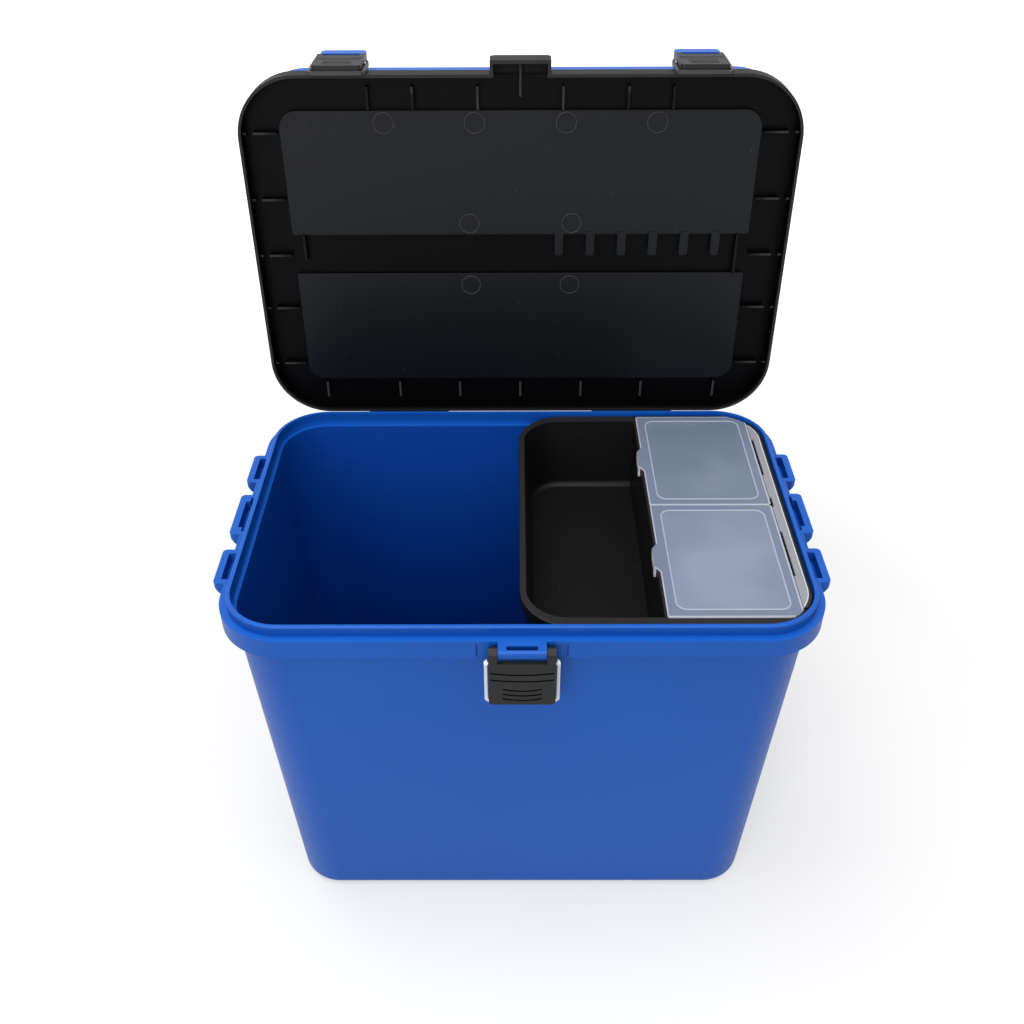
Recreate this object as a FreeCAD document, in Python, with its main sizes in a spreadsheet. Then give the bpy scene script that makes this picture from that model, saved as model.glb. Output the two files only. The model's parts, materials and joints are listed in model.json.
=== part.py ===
import FreeCAD, Part
import math
import os
import re
import Sketcher

# Two-section seat box for winter fishing. Lengths are in millimetres. +Z is up, X is the width and
# the front faces -Y. The origin is the middle of the tub's base, on the ground. The lower tub is
# open: its upper section is built shut, on the tub's ledge, and then turned back about its hinge.

V = FreeCAD.Vector
doc = FreeCAD.newDocument("seat_box")
sheet = doc.addObject("Spreadsheet::Sheet", "Sizes")

SIZES = [
    # tub
    ("tub_width", 380.0, "over the skirt"),
    ("tub_depth", 252.0, "over the skirt"),
    ("corner_radius", 42.0, "of the skirt in plan"),
    ("ledge_height", 281.0, "ground to the flat ledge round the rim"),
    ("lip_height", 7.0, "of the raised lip above the ledge"),
    ("lip_thickness", 2.7, "of the raised lip"),
    ("ledge_width", 5.0, "skirt's outside to the lip"),
    ("ledge_thickness", 2.5, "of the ledge plate"),
    ("skirt_height", 13.5, "of the skirt below the ledge's top"),
    ("skirt_thickness", 2.5, "of the skirt"),
    ("body_inset", 7.8, "skirt's outside to the body's outside"),
    ("side_draft", 13.2, "how far each side leans in down to the ground"),
    ("wall_thickness", 2.6, "of the tub's walls"),
    ("floor_thickness", 3.0, "of the tub's floor"),
    ("base_radius", 8.0, "rounding under the tub"),
    ("step_drop", 3.2, "ledge's top down to the step for the tray"),
    ("step_thickness", 2.5, "of the step"),
    ("notch_half", 28.0, "half the recess in the front skirt"),
    ("notch_depth", 1.4, "recess in the front skirt, behind the lever"),
    ("lip_clearance", 1.3, "between the lip and the ribs that hang inside it"),
    # lugs on the tub
    ("lug_reach", 7.4, "how far a side lug stands out of the skirt"),
    ("lug_depth", 4.0, "height of a side lug's outer face"),
    ("lug_rounding", 3.0, "outer corners of a side lug"),
    ("small_lug_length", 34.0, "front and rear side lugs"),
    ("middle_lug_length", 44.5, "middle side lug"),
    ("rear_lug_y", 53.6, "middle of the rear side lug"),
    ("middle_lug_y", -0.5, "middle of the middle side lug"),
    ("front_lug_y", -55.9, "middle of the front side lug"),
    ("strap_slot_width", 4.8, "slots in the side lugs"),
    ("strap_slot_depth", 8.0, "slots in the side lugs, closed below"),
    ("small_slot_length", 25.8, "slot of a small lug"),
    ("middle_slot_length", 29.0, "wide part of the middle lug's slot"),
    ("narrow_slot_length", 38.0, "narrow part of the middle lug's slot"),
    ("narrow_slot_width", 2.0, "narrow part of the middle lug's slot"),
    # hinges
    ("open_angle", 92.0, "degrees, how far the upper section is turned back"),
    ("hinge_out", 2.4, "main hinge axis behind the skirt"),
    ("hinge_drop", 1.3, "main hinge axis below the ledge's top"),
    ("seat_hinge_out", 3.0, "seat lid's hinge axis behind the lid's flange"),
    ("knuckle_radius", 2.6, "hinge knuckles"),
    ("hinge_pin_radius", 1.2, "hinge pins"),
    ("pin_radius", 1.5, "pivot stubs of the levers"),
    ("swing_gap", 0.4, "round what turns in a gap of the skirt"),
    ("pin_play", 0.05, "radial play of a pin in its running hole"),
    ("hinge_inner", 35.0, "inner end of each main hinge"),
    ("hinge_end_inset", 50.0, "skirt's side to the outer end of each main hinge"),
    ("knuckle_length", 21.0, "end knuckles of a main hinge"),
    ("knuckle_gap", 0.5, "between knuckles"),
    ("stop_reach", 6.5, "stop flap beyond the main hinge axis"),
    ("seat_hinge_inner", 45.0, "inner end of each hinge of the seat lid"),
    ("seat_hinge_end_inset", 60.0, "skirt's side to the outer end of each hinge of the seat lid"),
    ("seat_knuckle_length", 17.0, "end knuckles of a seat lid hinge"),
    # upper section
    ("section_gap", 0.3, "between ledge and upper section when shut"),
    ("rim_wall", 2.0, "rim of the upper section"),
    ("deck_height", 14.0, "rim's edge to the deck's top"),
    ("deck_thickness", 2.5, "of the deck"),
    ("upper_inset", 9.2, "rim's outside to the upper wall's outside"),
    ("upper_wall", 2.4, "upper wall"),
    ("upper_height", 42.0, "rim's edge to the upper wall's top"),
    ("rib_thickness", 1.6, "ribs under the deck"),
    ("rib_level", 6.2, "rim's edge to the ribs' edges"),
    ("side_rib_y1", 41.0, "second side rib from the middle one"),
    ("side_rib_y2", 86.8, "third side rib from the middle one"),
    ("front_rib_x1", 28.5, "first front rib from the middle"),
    ("front_rib_x2", 72.0, "second front rib from the middle"),
    ("front_rib_x3", 102.0, "third front rib from the middle"),
    ("rear_rib_x1", 47.0, "first rear rib from the middle one"),
    ("rear_rib_x2", 93.6, "second rear rib from the middle one"),
    ("rear_rib_x3", 150.0, "third rear rib from the middle one"),
    ("front_boss_half", 20.0, "half width of the front catch"),
    ("front_boss_reach", 8.7, "front catch out of the rim"),
    ("front_boss_height", 14.7, "front catch above the rim's edge"),
    ("boss_wall", 2.3, "walls of the hollow catches"),
    # pocket panels
    ("panel_level", 8.0, "rim's edge to the panels' faces"),
    ("panel_thickness", 1.5, "pocket panels"),
    ("panel_side_inset", 27.0, "rim's outside to the ends of the panels"),
    ("panel_edge_inset", 25.0, "rim's outside to the outer edge of a panel"),
    ("panel_inner_y", 15.0, "inner edge of a panel from the middle"),
    ("panel_corner", 12.0, "outer corners of a panel"),
    ("post_radius", 6.8, "posts that carry the panels"),
    ("post_end_inset", 12.0, "panel's end to the middle of its outer posts"),
    ("post_edge_inset", 8.0, "panel's long edge to the middle of a post"),
    ("front_post_x", 92.5, "front panel's second post from the middle"),
    ("middle_post_x", 31.0, "posts near the middle of the outer edges"),
    ("inner_post_x", 36.2, "posts near the middle of the inner edges"),
    ("tooth_width", 6.0, "teeth of the comb"),
    ("tooth_pitch", 22.4, "teeth of the comb"),
    ("tooth_first_x", 27.7, "middle of the first tooth"),
    ("tooth_length", 15.6, "teeth of the comb"),
    # seat lid
    ("lid_inset", 6.3, "rim's outside to the seat lid's outside"),
    ("lid_overlap", 4.8, "how far the lid's flange laps over the upper wall"),
    ("lid_flange", 9.5, "height of the lid's flange"),
    ("lid_rise", 21.0, "flange to the seat's top"),
    ("lid_top_inset", 7.7, "how far the lid leans in above its flange"),
    ("lid_wall", 2.5, "seat lid"),
    ("lid_edge_radius", 7.0, "rounding round the seat"),
    ("lid_boss_inset", 70.0, "rim's outside to the middle of each catch on the seat lid"),
    ("lid_boss_half", 15.3, "half width of a catch on the seat lid"),
    ("lid_boss_reach", 11.1, "catch out of the lid's flange"),
    ("lid_boss_height", 9.7, "height of a catch on the seat lid"),
    # latches
    ("front_base_half", 14.6, "half width of the tub's latch lug"),
    ("front_base_reach", 9.9, "tub's latch lug out of the skirt"),
    ("front_base_thickness", 6.2, "tub's latch lug"),
    ("front_pivot_out", 5.5, "lever's pivot in front of the skirt"),
    ("front_pivot_drop", 3.1, "lever's pivot below the ledge's top"),
    ("front_lever_half", 20.4, "half width of the front lever"),
    ("front_lever_out", 6.5, "lever's pivot to its outer face"),
    ("front_lever_length", 38.8, "lever's pivot to its lower edge"),
    ("front_bail_drop", 10.3, "lever's pivot down to the bail's pivot"),
    ("front_bail_bar", 3.0, "thickness of the front bail"),
    ("side_base_half", 12.0, "half width of the upper section's latch lugs"),
    ("side_pivot_out", 11.1, "lever's pivot in front of the upper wall"),
    ("side_pivot_drop", 10.8, "lever's pivot below the upper wall's top"),
    ("side_lever_half", 16.2, "half width of a lid lever"),
    ("side_lever_out", 4.0, "lever's pivot to its outer face"),
    ("side_lever_length", 31.0, "lever's pivot to its lower edge"),
    ("side_bail_drop", 7.0, "lever's pivot down to the bail's pivot"),
    ("side_bail_bar", 2.2, "thickness of a lid bail"),
    ("lug_edge_radius", 1.9, "rounded front edges of the latch lugs"),
    ("over_centre", 0.5, "bail's pivot behind the lever's, so a hooked bail holds it shut"),
    ("arm_gap", 0.4, "side play between latch pieces"),
    ("arm_radius", 3.0, "ends of the lever's arms"),
    ("lever_head", 1.7, "lever's plate above its pivot, at the arms"),
    ("lever_notch", 4.2, "lever's pivot down to its plate between the arms"),
    ("lever_plate", 2.6, "lever's plate"),
    ("lever_flange", 2.2, "lever's side flanges"),
    ("lever_stub", 3.6, "length of a lever's pivot stub"),
    ("tail_lip", 4.2, "depth of a lever's lower edge"),
    ("bail_gap", 0.8, "side play between lever and bail"),
    ("bail_arm", 1.9, "width of a bail's arm"),
    ("bail_eye", 2.2, "radius of the bail's eyes"),
    ("bail_chamfer", 2.6, "cut corners of the bail"),
    ("bail_pin_radius", 1.2, "bail's pin"),
    ("groove_depth", 0.9, "grooves across a lever"),
    ("groove_width", 1.2, "grooves across a lever"),
    ("groove_sag", 1.6, "how far a groove sags at its middle"),
    ("groove_side", 1.1, "lever's side to the ends of its long grooves"),
    ("short_groove", 0.588, "short grooves as a part of the lever's half width"),
    ("hook_gap", 1.0, "bar over its catch when hooked"),
    # tray
    ("tray_width", 183.2, "over the tray's rim"),
    ("tray_gap", 0.5, "between tray and lip"),
    ("tray_rest_gap", 0.3, "between tray and step"),
    ("tray_rim_height", 6.9, "of the tray's rim"),
    ("tray_rim_band", 4.0, "rim's outside to the bucket's inside along the sides"),
    ("tray_end_band", 8.2, "rim's outside to the bucket's inside at the ends"),
    ("tray_wall", 1.6, "tray's walls and floor"),
    ("tray_depth", 58.0, "of the whole tray"),
    ("tray_draft", 4.5, "how far the tray's sides lean in"),
    ("tray_floor_radius", 6.0, "rounding round the tray's floor"),
    ("pocket_width", 89.4, "tray's left edge to the middle of the long divider"),
    ("divider_thickness", 1.8, "tray's dividers"),
    ("split_y", 2.0, "joint between the two tray lids"),
    ("tray_lid_gap", 0.1, "between tray lids and rim"),
    ("tray_lid_thickness", 1.4, "tray lids and hinge strip"),
    ("tray_lid_lap", 0.7, "divider's middle to the lids' free edges"),
    ("rear_lid_inset", 4.2, "tray's rear edge to its rear lid"),
    ("front_lid_inset", 7.6, "tray's front edge to its front lid"),
    ("lid_joint_gap", 0.5, "between the two tray lids"),
    ("tray_hinge_inset", 10.2, "tray's right edge to the living hinges"),
    ("lid_hinge_gap", 0.3, "between a tray lid's hinge bead and the strip"),
    ("strip_inset", 2.2, "tray's right edge to the hinge strip"),
    ("strip_rear_inset", 11.8, "tray's rear edge to the strip's end"),
    ("strip_front_inset", 15.2, "tray's front edge to the strip's end"),
    ("strip_corner_inset", 1.2, "tray's rounded corners to the strip"),
    ("lid_corner_inset", 2.2, "tray's rounded corners to the tray lids"),
    ("bead_inset", 14.0, "tray's ends to the ends of the living hinges"),
    ("strip_slot_width", 1.3, "gaps along the living hinges"),
    ("joint_slot_length", 10.7, "gap beside the joint of the two lids"),
    ("joint_slot_shift", 3.0, "that gap's middle behind the joint"),
    ("strip_bridge", 26.7, "living hinges either side of that gap"),
    ("strip_rear_bridge", 23.6, "living hinge at the strip's rear end"),
    ("strip_front_bridge", 29.5, "living hinge at the strip's front end"),
    ("rear_lid_corner", 8.0, "rear lid's corner at the hinge"),
    ("front_lid_corner", 5.5, "front lid's corner at the hinge"),
    ("tab_reach", 3.2, "snap tab beyond the lid's edge"),
    ("tab_length", 17.5, "snap tab's outer edge"),
    ("tab_flare", 5.0, "sloping ends of a snap tab"),
    ("tab_drop", 9.4, "snap blade below the lid's top"),
    ("tab_thickness", 1.2, "snap blade"),
    ("rear_tab_y", 55.3, "lids' joint to the middle of the rear lid's tab"),
    ("front_tab_y", 56.0, "lids' joint to the middle of the front lid's tab"),
    ("ridge_inset", 5.8, "lid's edge to the outline ridge"),
    ("ridge_corner", 7.0, "corners of the outline ridge"),
    ("ridge_width", 0.9, "outline ridge"),
    ("ridge_height", 0.3, "outline ridge"),
]

for row, (alias, value, note) in enumerate(SIZES, start=1):
    sheet.set("A%d" % row, alias)
    sheet.set("B%d" % row, str(value))
    sheet.setAlias("B%d" % row, alias)
    sheet.set("C%d" % row, note)
doc.recompute()
NAMES = {alias for alias, value, note in SIZES}


def ref(expression):
    """An expression with every size named through the sheet."""
    return re.sub(r"[a-z][a-z0-9_]*",
                  lambda m: "Sizes." + m.group(0) if m.group(0) in NAMES else m.group(0),
                  expression)


def num(expression):
    """The present value of an expression, for a shape's first guess."""
    return float(sheet.evalExpression(expression))


def bind(thing, path, expression):
    """Ties a property to an expression in the sheet's sizes."""
    thing.setExpression(path, ref(expression))


def minus(expression):
    """The expression with its sign turned."""
    return "-(%s)" % expression


# Places that several pieces share.
HALF_W = "tub_width / 2"
HALF_D = "tub_depth / 2"
LIP_OUT = "ledge_width"
LIP_IN = "(ledge_width + lip_thickness)"
STEP_TOP = "(ledge_height - step_drop)"
HINGE_Y = "(tub_depth / 2 + hinge_out)"
HINGE_Z = "(ledge_height - hinge_drop)"
RIM_Z = "(ledge_height + section_gap)"
DECK_Z = "(ledge_height + section_gap + deck_height)"
DECK_UNDER = "(ledge_height + section_gap + deck_height - deck_thickness)"
UPPER_TOP = "(ledge_height + section_gap + upper_height)"
FLANGE_Z = "(ledge_height + section_gap + upper_height - lid_overlap)"
FLANGE_TOP = "(ledge_height + section_gap + upper_height - lid_overlap + lid_flange)"
SEAT_Z = "(ledge_height + section_gap + upper_height - lid_overlap + lid_flange + lid_rise)"
SEAT_HINGE_Y = "(tub_depth / 2 - lid_inset + seat_hinge_out)"
SEAT_HINGE_Z = "(ledge_height + section_gap + upper_height - lid_overlap + 1)"
TRAY_RIGHT = "(tub_width / 2 - ledge_width - lip_thickness - tray_gap)"
TRAY_END = "(tub_depth / 2 - ledge_width - lip_thickness - tray_gap)"
TRAY_LEFT = "(tub_width / 2 - ledge_width - lip_thickness - tray_gap - tray_width)"
TRAY_RIM_Z = "(ledge_height - step_drop + tray_rest_gap)"
TRAY_TOP = "(ledge_height - step_drop + tray_rest_gap + tray_rim_height)"
TRAY_BASE = "(ledge_height - step_drop + tray_rest_gap + tray_rim_height - tray_depth)"
LID_Z = "(ledge_height - step_drop + tray_rest_gap + tray_rim_height + tray_lid_gap)"
DIVIDER_X = "(tub_width / 2 - ledge_width - lip_thickness - tray_gap - tray_width + pocket_width)"
TRAY_HINGE_X = "(tub_width / 2 - ledge_width - lip_thickness - tray_gap - tray_hinge_inset)"
HINGE_OUTER = "(tub_width / 2 - hinge_end_inset)"
SEAT_HINGE_OUTER = "(tub_width / 2 - seat_hinge_end_inset)"
LID_BOSS_X = "(tub_width / 2 - lid_boss_inset)"
PANEL_HALF = "(tub_width / 2 - panel_side_inset)"
PANEL_OUTER = "(tub_depth / 2 - panel_edge_inset)"
FRONT_PIVOT_Y = "(-tub_depth / 2 - front_pivot_out)"
FRONT_PIVOT_Z = "(ledge_height - front_pivot_drop)"
SIDE_PIVOT_Y = "(-tub_depth / 2 + upper_inset - side_pivot_out)"
SIDE_PIVOT_Z = "(ledge_height + section_gap + upper_height - side_pivot_drop)"

PLANES = {
    "XY": (FreeCAD.Rotation(), V(0, 0, 1), "z"),
    "XZ": (FreeCAD.Rotation(V(1, 0, 0), 90), V(0, 1, 0), "y"),
    "YZ": (FreeCAD.Rotation(V(1, 1, 1), 120), V(1, 0, 0), "x"),
}


def sketch(name, plane, place):
    """An empty sketch on a plane across Z, Y or X, at this place along that axis."""
    rotation, normal, axis = PLANES[plane]
    result = doc.addObject("Sketcher::SketchObject", name)
    result.Placement = FreeCAD.Placement(V(), rotation)
    bind(result, "Placement.Base." + axis, place)
    return result


def hold(target, kind, first, point, expression):
    """Ties one coordinate of a point of a sketch to an expression."""
    index = target.addConstraint(Sketcher.Constraint(kind, -1, 1, first, point, num(expression)))
    bind(target, "Constraints[%d]" % index, expression)


def loop(target, x0, x1, y0, y1, radii):
    """A rectangle with rounded corners; radii is one expression, or four from the low corner round."""
    if isinstance(radii, str):
        radii = [radii] * 4
    left, right, low, high = num(x0), num(x1), num(y0), num(y1)
    r = [num(each) for each in radii]
    first = target.GeometryCount
    lines = [((left + r[0], low), (right - r[1], low)), ((right, low + r[1]), (right, high - r[2])),
             ((right - r[2], high), (left + r[3], high)), ((left, high - r[3]), (left, low + r[0]))]
    for a, b in lines:
        target.addGeometry(Part.LineSegment(V(a[0], a[1], 0), V(b[0], b[1], 0)))
    corners = [(right - r[1], low + r[1], r[1], -90), (right - r[2], high - r[2], r[2], 0),
               (left + r[3], high - r[3], r[3], 90), (left + r[0], low + r[0], r[0], 180)]
    for cx, cy, radius, start in corners:
        circle = Part.Circle(V(cx, cy, 0), V(0, 0, 1), radius)
        target.addGeometry(Part.ArcOfCircle(circle, math.radians(start), math.radians(start + 90)))
    for k in range(4):
        line, arc, following = first + k, first + 4 + k, first + (k + 1) % 4
        target.addConstraint(Sketcher.Constraint("Tangent", line, 2, arc, 1))
        target.addConstraint(Sketcher.Constraint("Tangent", arc, 2, following, 1))
        target.addConstraint(Sketcher.Constraint("Vertical" if k % 2 else "Horizontal", line))
        index = target.addConstraint(Sketcher.Constraint("Radius", arc, r[(k + 1) % 4]))
        bind(target, "Constraints[%d]" % index, radii[(k + 1) % 4])
    hold(target, "DistanceY", first, 1, y0)
    hold(target, "DistanceX", first + 1, 1, x1)
    hold(target, "DistanceY", first + 2, 1, y1)
    hold(target, "DistanceX", first + 3, 1, x0)


def poly(target, points):
    """A closed outline through points, each a pair of expressions."""
    first = target.GeometryCount
    count = len(points)
    for k in range(count):
        a, b = points[k], points[(k + 1) % count]
        target.addGeometry(Part.LineSegment(V(num(a[0]), num(a[1]), 0), V(num(b[0]), num(b[1]), 0)))
    for k in range(count):
        following = first + (k + 1) % count
        target.addConstraint(Sketcher.Constraint("Coincident", first + k, 2, following, 1))
        hold(target, "DistanceX", first + k, 1, points[k][0])
        hold(target, "DistanceY", first + k, 1, points[k][1])


def band(target, middle, half, level, sag, width):
    """A sagging groove's outline: two arcs a width apart, each lower by the sag at its middle."""
    first = target.GeometryCount
    x, h, y, d = num(middle), num(half), num(level), num(sag)
    radius = (h * h + d * d) / (2 * d)
    reach = math.asin(h / radius)
    for lift in (0.0, num(width)):
        circle = Part.Circle(V(x, y + lift + radius - d, 0), V(0, 0, 1), radius)
        target.addGeometry(Part.ArcOfCircle(circle, 1.5 * math.pi - reach, 1.5 * math.pi + reach))
    target.addGeometry(Part.LineSegment(V(x - h, y, 0), V(x - h, y + num(width), 0)))
    target.addGeometry(Part.LineSegment(V(x + h, y, 0), V(x + h, y + num(width), 0)))
    for arc, rise in ((first, level), (first + 1, "%s + %s" % (level, width))):
        hold(target, "DistanceX", arc, 1, "%s - %s" % (middle, half))
        hold(target, "DistanceY", arc, 1, rise)
        hold(target, "DistanceX", arc, 2, "%s + %s" % (middle, half))
        hold(target, "DistanceY", arc, 2, rise)
        index = target.addConstraint(Sketcher.Constraint("Radius", arc, radius))
        bind(target, "Constraints[%d]" % index, "((%s)^2 + (%s)^2) / (2 * (%s))" % (half, sag, sag))
    for line, point in ((first + 2, 1), (first + 3, 2)):
        target.addConstraint(Sketcher.Constraint("Coincident", line, 1, first, point))
        target.addConstraint(Sketcher.Constraint("Coincident", line, 2, first + 1, point))


def extrude(name, drawing, plane, start, end):
    """A sketch pushed out from its own place to the end place."""
    result = doc.addObject("Part::Extrusion", name)
    result.Base = drawing
    result.DirMode = "Custom"
    result.Dir = PLANES[plane][1]
    result.Solid = True
    bind(result, "LengthFwd", "%s - (%s)" % (end, start))
    return result


def slab(name, plane, start, end, draw, *outline):
    """One outline, drawn by draw, pushed from start to end."""
    drawing = sketch(name + "_sketch", plane, start)
    draw(drawing, *outline)
    return extrude(name, drawing, plane, start, end)


def block(name, x0, x1, y0, y1, z0, z1):
    """A box between six places."""
    result = doc.addObject("Part::Box", name)
    for side, axis, low, high in (("Length", "x", x0, x1), ("Width", "y", y0, y1), ("Height", "z", z0, z1)):
        bind(result, side, "%s - (%s)" % (high, low))
        bind(result, "Placement.Base." + axis, low)
    return result


def bar(name, x0, x1, y, z, radius):
    """A round bar along X."""
    result = doc.addObject("Part::Cylinder", name)
    result.Placement = FreeCAD.Placement(V(), FreeCAD.Rotation(V(0, 1, 0), 90))
    bind(result, "Radius", radius)
    bind(result, "Height", "%s - (%s)" % (x1, x0))
    bind(result, "Placement.Base.x", x0)
    bind(result, "Placement.Base.y", y)
    bind(result, "Placement.Base.z", z)
    return result


def post(name, x, y, z0, z1, radius):
    """A round post along Z."""
    result = doc.addObject("Part::Cylinder", name)
    bind(result, "Radius", radius)
    bind(result, "Height", "%s - (%s)" % (z1, z0))
    bind(result, "Placement.Base.x", x)
    bind(result, "Placement.Base.y", y)
    bind(result, "Placement.Base.z", z0)
    return result


def fuse(name, pieces):
    """One solid from several."""
    result = doc.addObject("Part::MultiFuse", name)
    result.Shapes = pieces
    result.Refine = True
    return result


def cut(name, base, tools):
    """The base less the tools."""
    if len(tools) > 1:
        tool = fuse(name + "_tools", tools)
    else:
        tool = tools[0]
    result = doc.addObject("Part::Cut", name)
    result.Base = base
    result.Tool = tool
    result.Refine = True
    return result


def common(name, first, second):
    """What two solids share."""
    result = doc.addObject("Part::Common", name)
    result.Base = first
    result.Tool = second
    return result


def mirror(name, source):
    """The source on the other side of the middle plane."""
    result = doc.addObject("Part::Mirroring", name)
    result.Source = source
    result.Normal = V(1, 0, 0)
    return result


def both(name, source):
    """The source and its mirror image."""
    return [source, mirror(name + "_mirrored", source)]


def loft(name, *drawings):
    """A straight-sided solid between sketches."""
    result = doc.addObject("Part::Loft", name)
    result.Sections = list(drawings)
    result.Solid = True
    result.Ruled = True
    return result


def fillet(name, base, radius, chosen):
    """Rounds the edges that the test picks by their middle point."""
    doc.recompute()
    value = num(radius)
    edges = []
    for number, edge in enumerate(base.Shape.Edges, start=1):
        middle = edge.valueAt(0.5 * (edge.FirstParameter + edge.LastParameter))
        if chosen(middle, edge):
            edges.append((number, value, value))
    result = doc.addObject("Part::Fillet", name)
    result.Base = base
    result.Edges = edges
    return result


def framed(target, inset, radius):
    """A rounded rectangle that lies an inset inside the skirt's outline."""
    loop(target, minus("%s - %s" % (HALF_W, inset)), "%s - %s" % (HALF_W, inset),
         minus("%s - %s" % (HALF_D, inset)), "%s - %s" % (HALF_D, inset), radius)


def ring_block(name, z0, z1, inset):
    """A plate over the whole plan, an inset inside the skirt's outline."""
    return slab(name, "XY", z0, z1, framed, inset, "corner_radius - %s" % inset)


def turn_back(thing):
    """Turns a piece of the upper section back about the main hinge, from shut to open."""
    thing.Placement = FreeCAD.Placement(V(), FreeCAD.Rotation(V(-1, 0, 0), num("open_angle")))
    bind(thing, "Placement.Rotation.Angle", "open_angle")
    sin, cos = "sin(open_angle)", "cos(open_angle)"
    bind(thing, "Placement.Base.y", "%s - %s * %s - %s * %s" % (HINGE_Y, HINGE_Y, cos, HINGE_Z, sin))
    bind(thing, "Placement.Base.z", "%s + %s * %s - %s * %s" % (HINGE_Z, HINGE_Y, sin, HINGE_Z, cos))
    return thing


NODES = {}


def node(name, thing, opened=False):
    """Keeps a finished piece under its name."""
    if opened:
        turn_back(thing)
    NODES[name] = thing
    return thing


# Tub: a rim block with a lip, over tapering walls.
rim_full = ring_block("rim_full", "ledge_height - skirt_height", "ledge_height", "0")
rim_hollow = ring_block("rim_hollow", "ledge_height - skirt_height", "ledge_height - ledge_thickness",
                        "skirt_thickness")
rim = cut("rim", rim_full, [rim_hollow])
lip_full = ring_block("lip_full", STEP_TOP + " - step_thickness", "ledge_height + lip_height", LIP_OUT)
doc.recompute()
lip_round = fillet("lip_round", lip_full, "lip_thickness * 0.42",
                   lambda p, e: p.z > num("ledge_height + lip_height") - 0.01)

wall_top = sketch("wall_top", "XY", STEP_TOP)
framed(wall_top, "body_inset", "corner_radius - body_inset")
wall_base = sketch("wall_base", "XY", "0")
framed(wall_base, "(body_inset + side_draft)", "corner_radius - body_inset - 4")
walls_sharp = loft("walls_sharp", wall_base, wall_top)
walls_full = fillet("walls_full", walls_sharp, "base_radius", lambda p, e: p.z < 0.01)

cavity_top = sketch("cavity_top", "XY", STEP_TOP)
framed(cavity_top, "(body_inset + wall_thickness)", "corner_radius - body_inset - wall_thickness")
cavity_base = sketch("cavity_base", "XY", "floor_thickness")
framed(cavity_base, "(body_inset + side_draft + wall_thickness)",
       "corner_radius - body_inset - wall_thickness - 4")
cavity_sharp = loft("cavity_sharp", cavity_base, cavity_top)
cavity = fillet("cavity", cavity_sharp, "base_radius - 2", lambda p, e: p.z < num("floor_thickness") + 0.01)
mouth = ring_block("mouth", STEP_TOP, "ledge_height + lip_height + 1", LIP_IN)


def side_lug(name, place, length, narrow):
    """A lug on the right side: a sloping bracket with rounded outer corners and a strap slot."""
    x_out = HALF_W + " + lug_reach"
    y0, y1 = "%s - %s / 2" % (place, length), "%s + %s / 2" % (place, length)
    root = HALF_W + " - skirt_thickness"
    bracket = slab(name + "_bracket", "XZ", y0, y1, poly,
                   [(root, "ledge_height"), (x_out, "ledge_height"), (x_out, "ledge_height - lug_depth"),
                    (HALF_W, "ledge_height - skirt_height"), (root, "ledge_height - skirt_height")])
    plan = slab(name + "_plan", "XY", "ledge_height - skirt_height - 1", "ledge_height + 1", loop,
                "%s - 5" % root, x_out, y0, y1, ["0.5", "lug_rounding", "lug_rounding", "0.5"])
    slot_x0 = "%s - ledge_width * 0.4" % HALF_W
    reach = "small_slot_length" if narrow is None else "middle_slot_length"
    slots = [block(name + "_slot", slot_x0, "%s + strap_slot_width" % slot_x0,
                   "%s - %s / 2" % (place, reach), "%s + %s / 2" % (place, reach),
                   "ledge_height - strap_slot_depth", "ledge_height + 1")]
    if narrow is not None:
        slots.append(block(name + "_narrow_slot", slot_x0, "%s + narrow_slot_width" % slot_x0,
                           "%s - %s / 2" % (place, narrow), "%s + %s / 2" % (place, narrow),
                           "ledge_height - strap_slot_depth", "ledge_height + 1"))
    return common(name, bracket, plan), slots


lugs = []
lug_slots = []
for lug_name, lug_y, lug_length, narrow_length in (
        ("rear_lug", "rear_lug_y", "small_lug_length", None),
        ("middle_lug", "middle_lug_y", "middle_lug_length", "narrow_slot_length"),
        ("front_lug", "front_lug_y", "small_lug_length", None)):
    lug, slots = side_lug(lug_name, lug_y, lug_length, narrow_length)
    lugs += both(lug_name, lug)
    for slot in slots:
        lug_slots += both(slot.Name, slot)

FRONT = "-(%s)" % HALF_D
base_tip = "%s - front_base_reach" % FRONT
latch_base = block("latch_base", "-front_base_half", "front_base_half", base_tip,
                   FRONT + " + body_inset + 1",
                   "ledge_height - front_base_thickness", "ledge_height")
latch_base_round = fillet("latch_base_round", latch_base, "lug_edge_radius",
                          lambda p, e: p.y < num(base_tip) + 0.01 and abs(p.x) < 1)
latch_slot = slab("latch_slot", "XY", "ledge_height - front_base_thickness - 1", "ledge_height + 1", loop,
                  "-front_base_half * 0.65", "front_base_half * 0.65", base_tip + " + 2.6",
                  base_tip + " + 6.1", "0.8")
front_notch = block("front_notch", "-notch_half", "notch_half", FRONT + " - 0.5", FRONT + " + notch_depth",
                    "ledge_height - skirt_height - 1", "ledge_height - ledge_thickness")
latch_bore = bar("latch_bore", "-front_base_half - 1", "front_base_half + 1", FRONT_PIVOT_Y, FRONT_PIVOT_Z,
                 "pin_radius + pin_play")
latch_bore_fill = bar("latch_bore_fill", "-front_base_half + lever_stub + arm_gap",
                      "front_base_half - lever_stub - arm_gap", FRONT_PIVOT_Y, FRONT_PIVOT_Z,
                      "pin_radius + pin_play + 1")
latch_bores = cut("latch_bores", latch_bore, [latch_bore_fill])


def knuckle(name, x0, x1, y, z, web):
    """A hinge knuckle on the right half, with the web that joins it to its wall."""
    barrel = bar(name + "_barrel", x0, x1, y, z, "knuckle_radius")
    plate = slab(name + "_web", "YZ", x0, x1, poly, web)
    return fuse(name, [barrel, plate])


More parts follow.
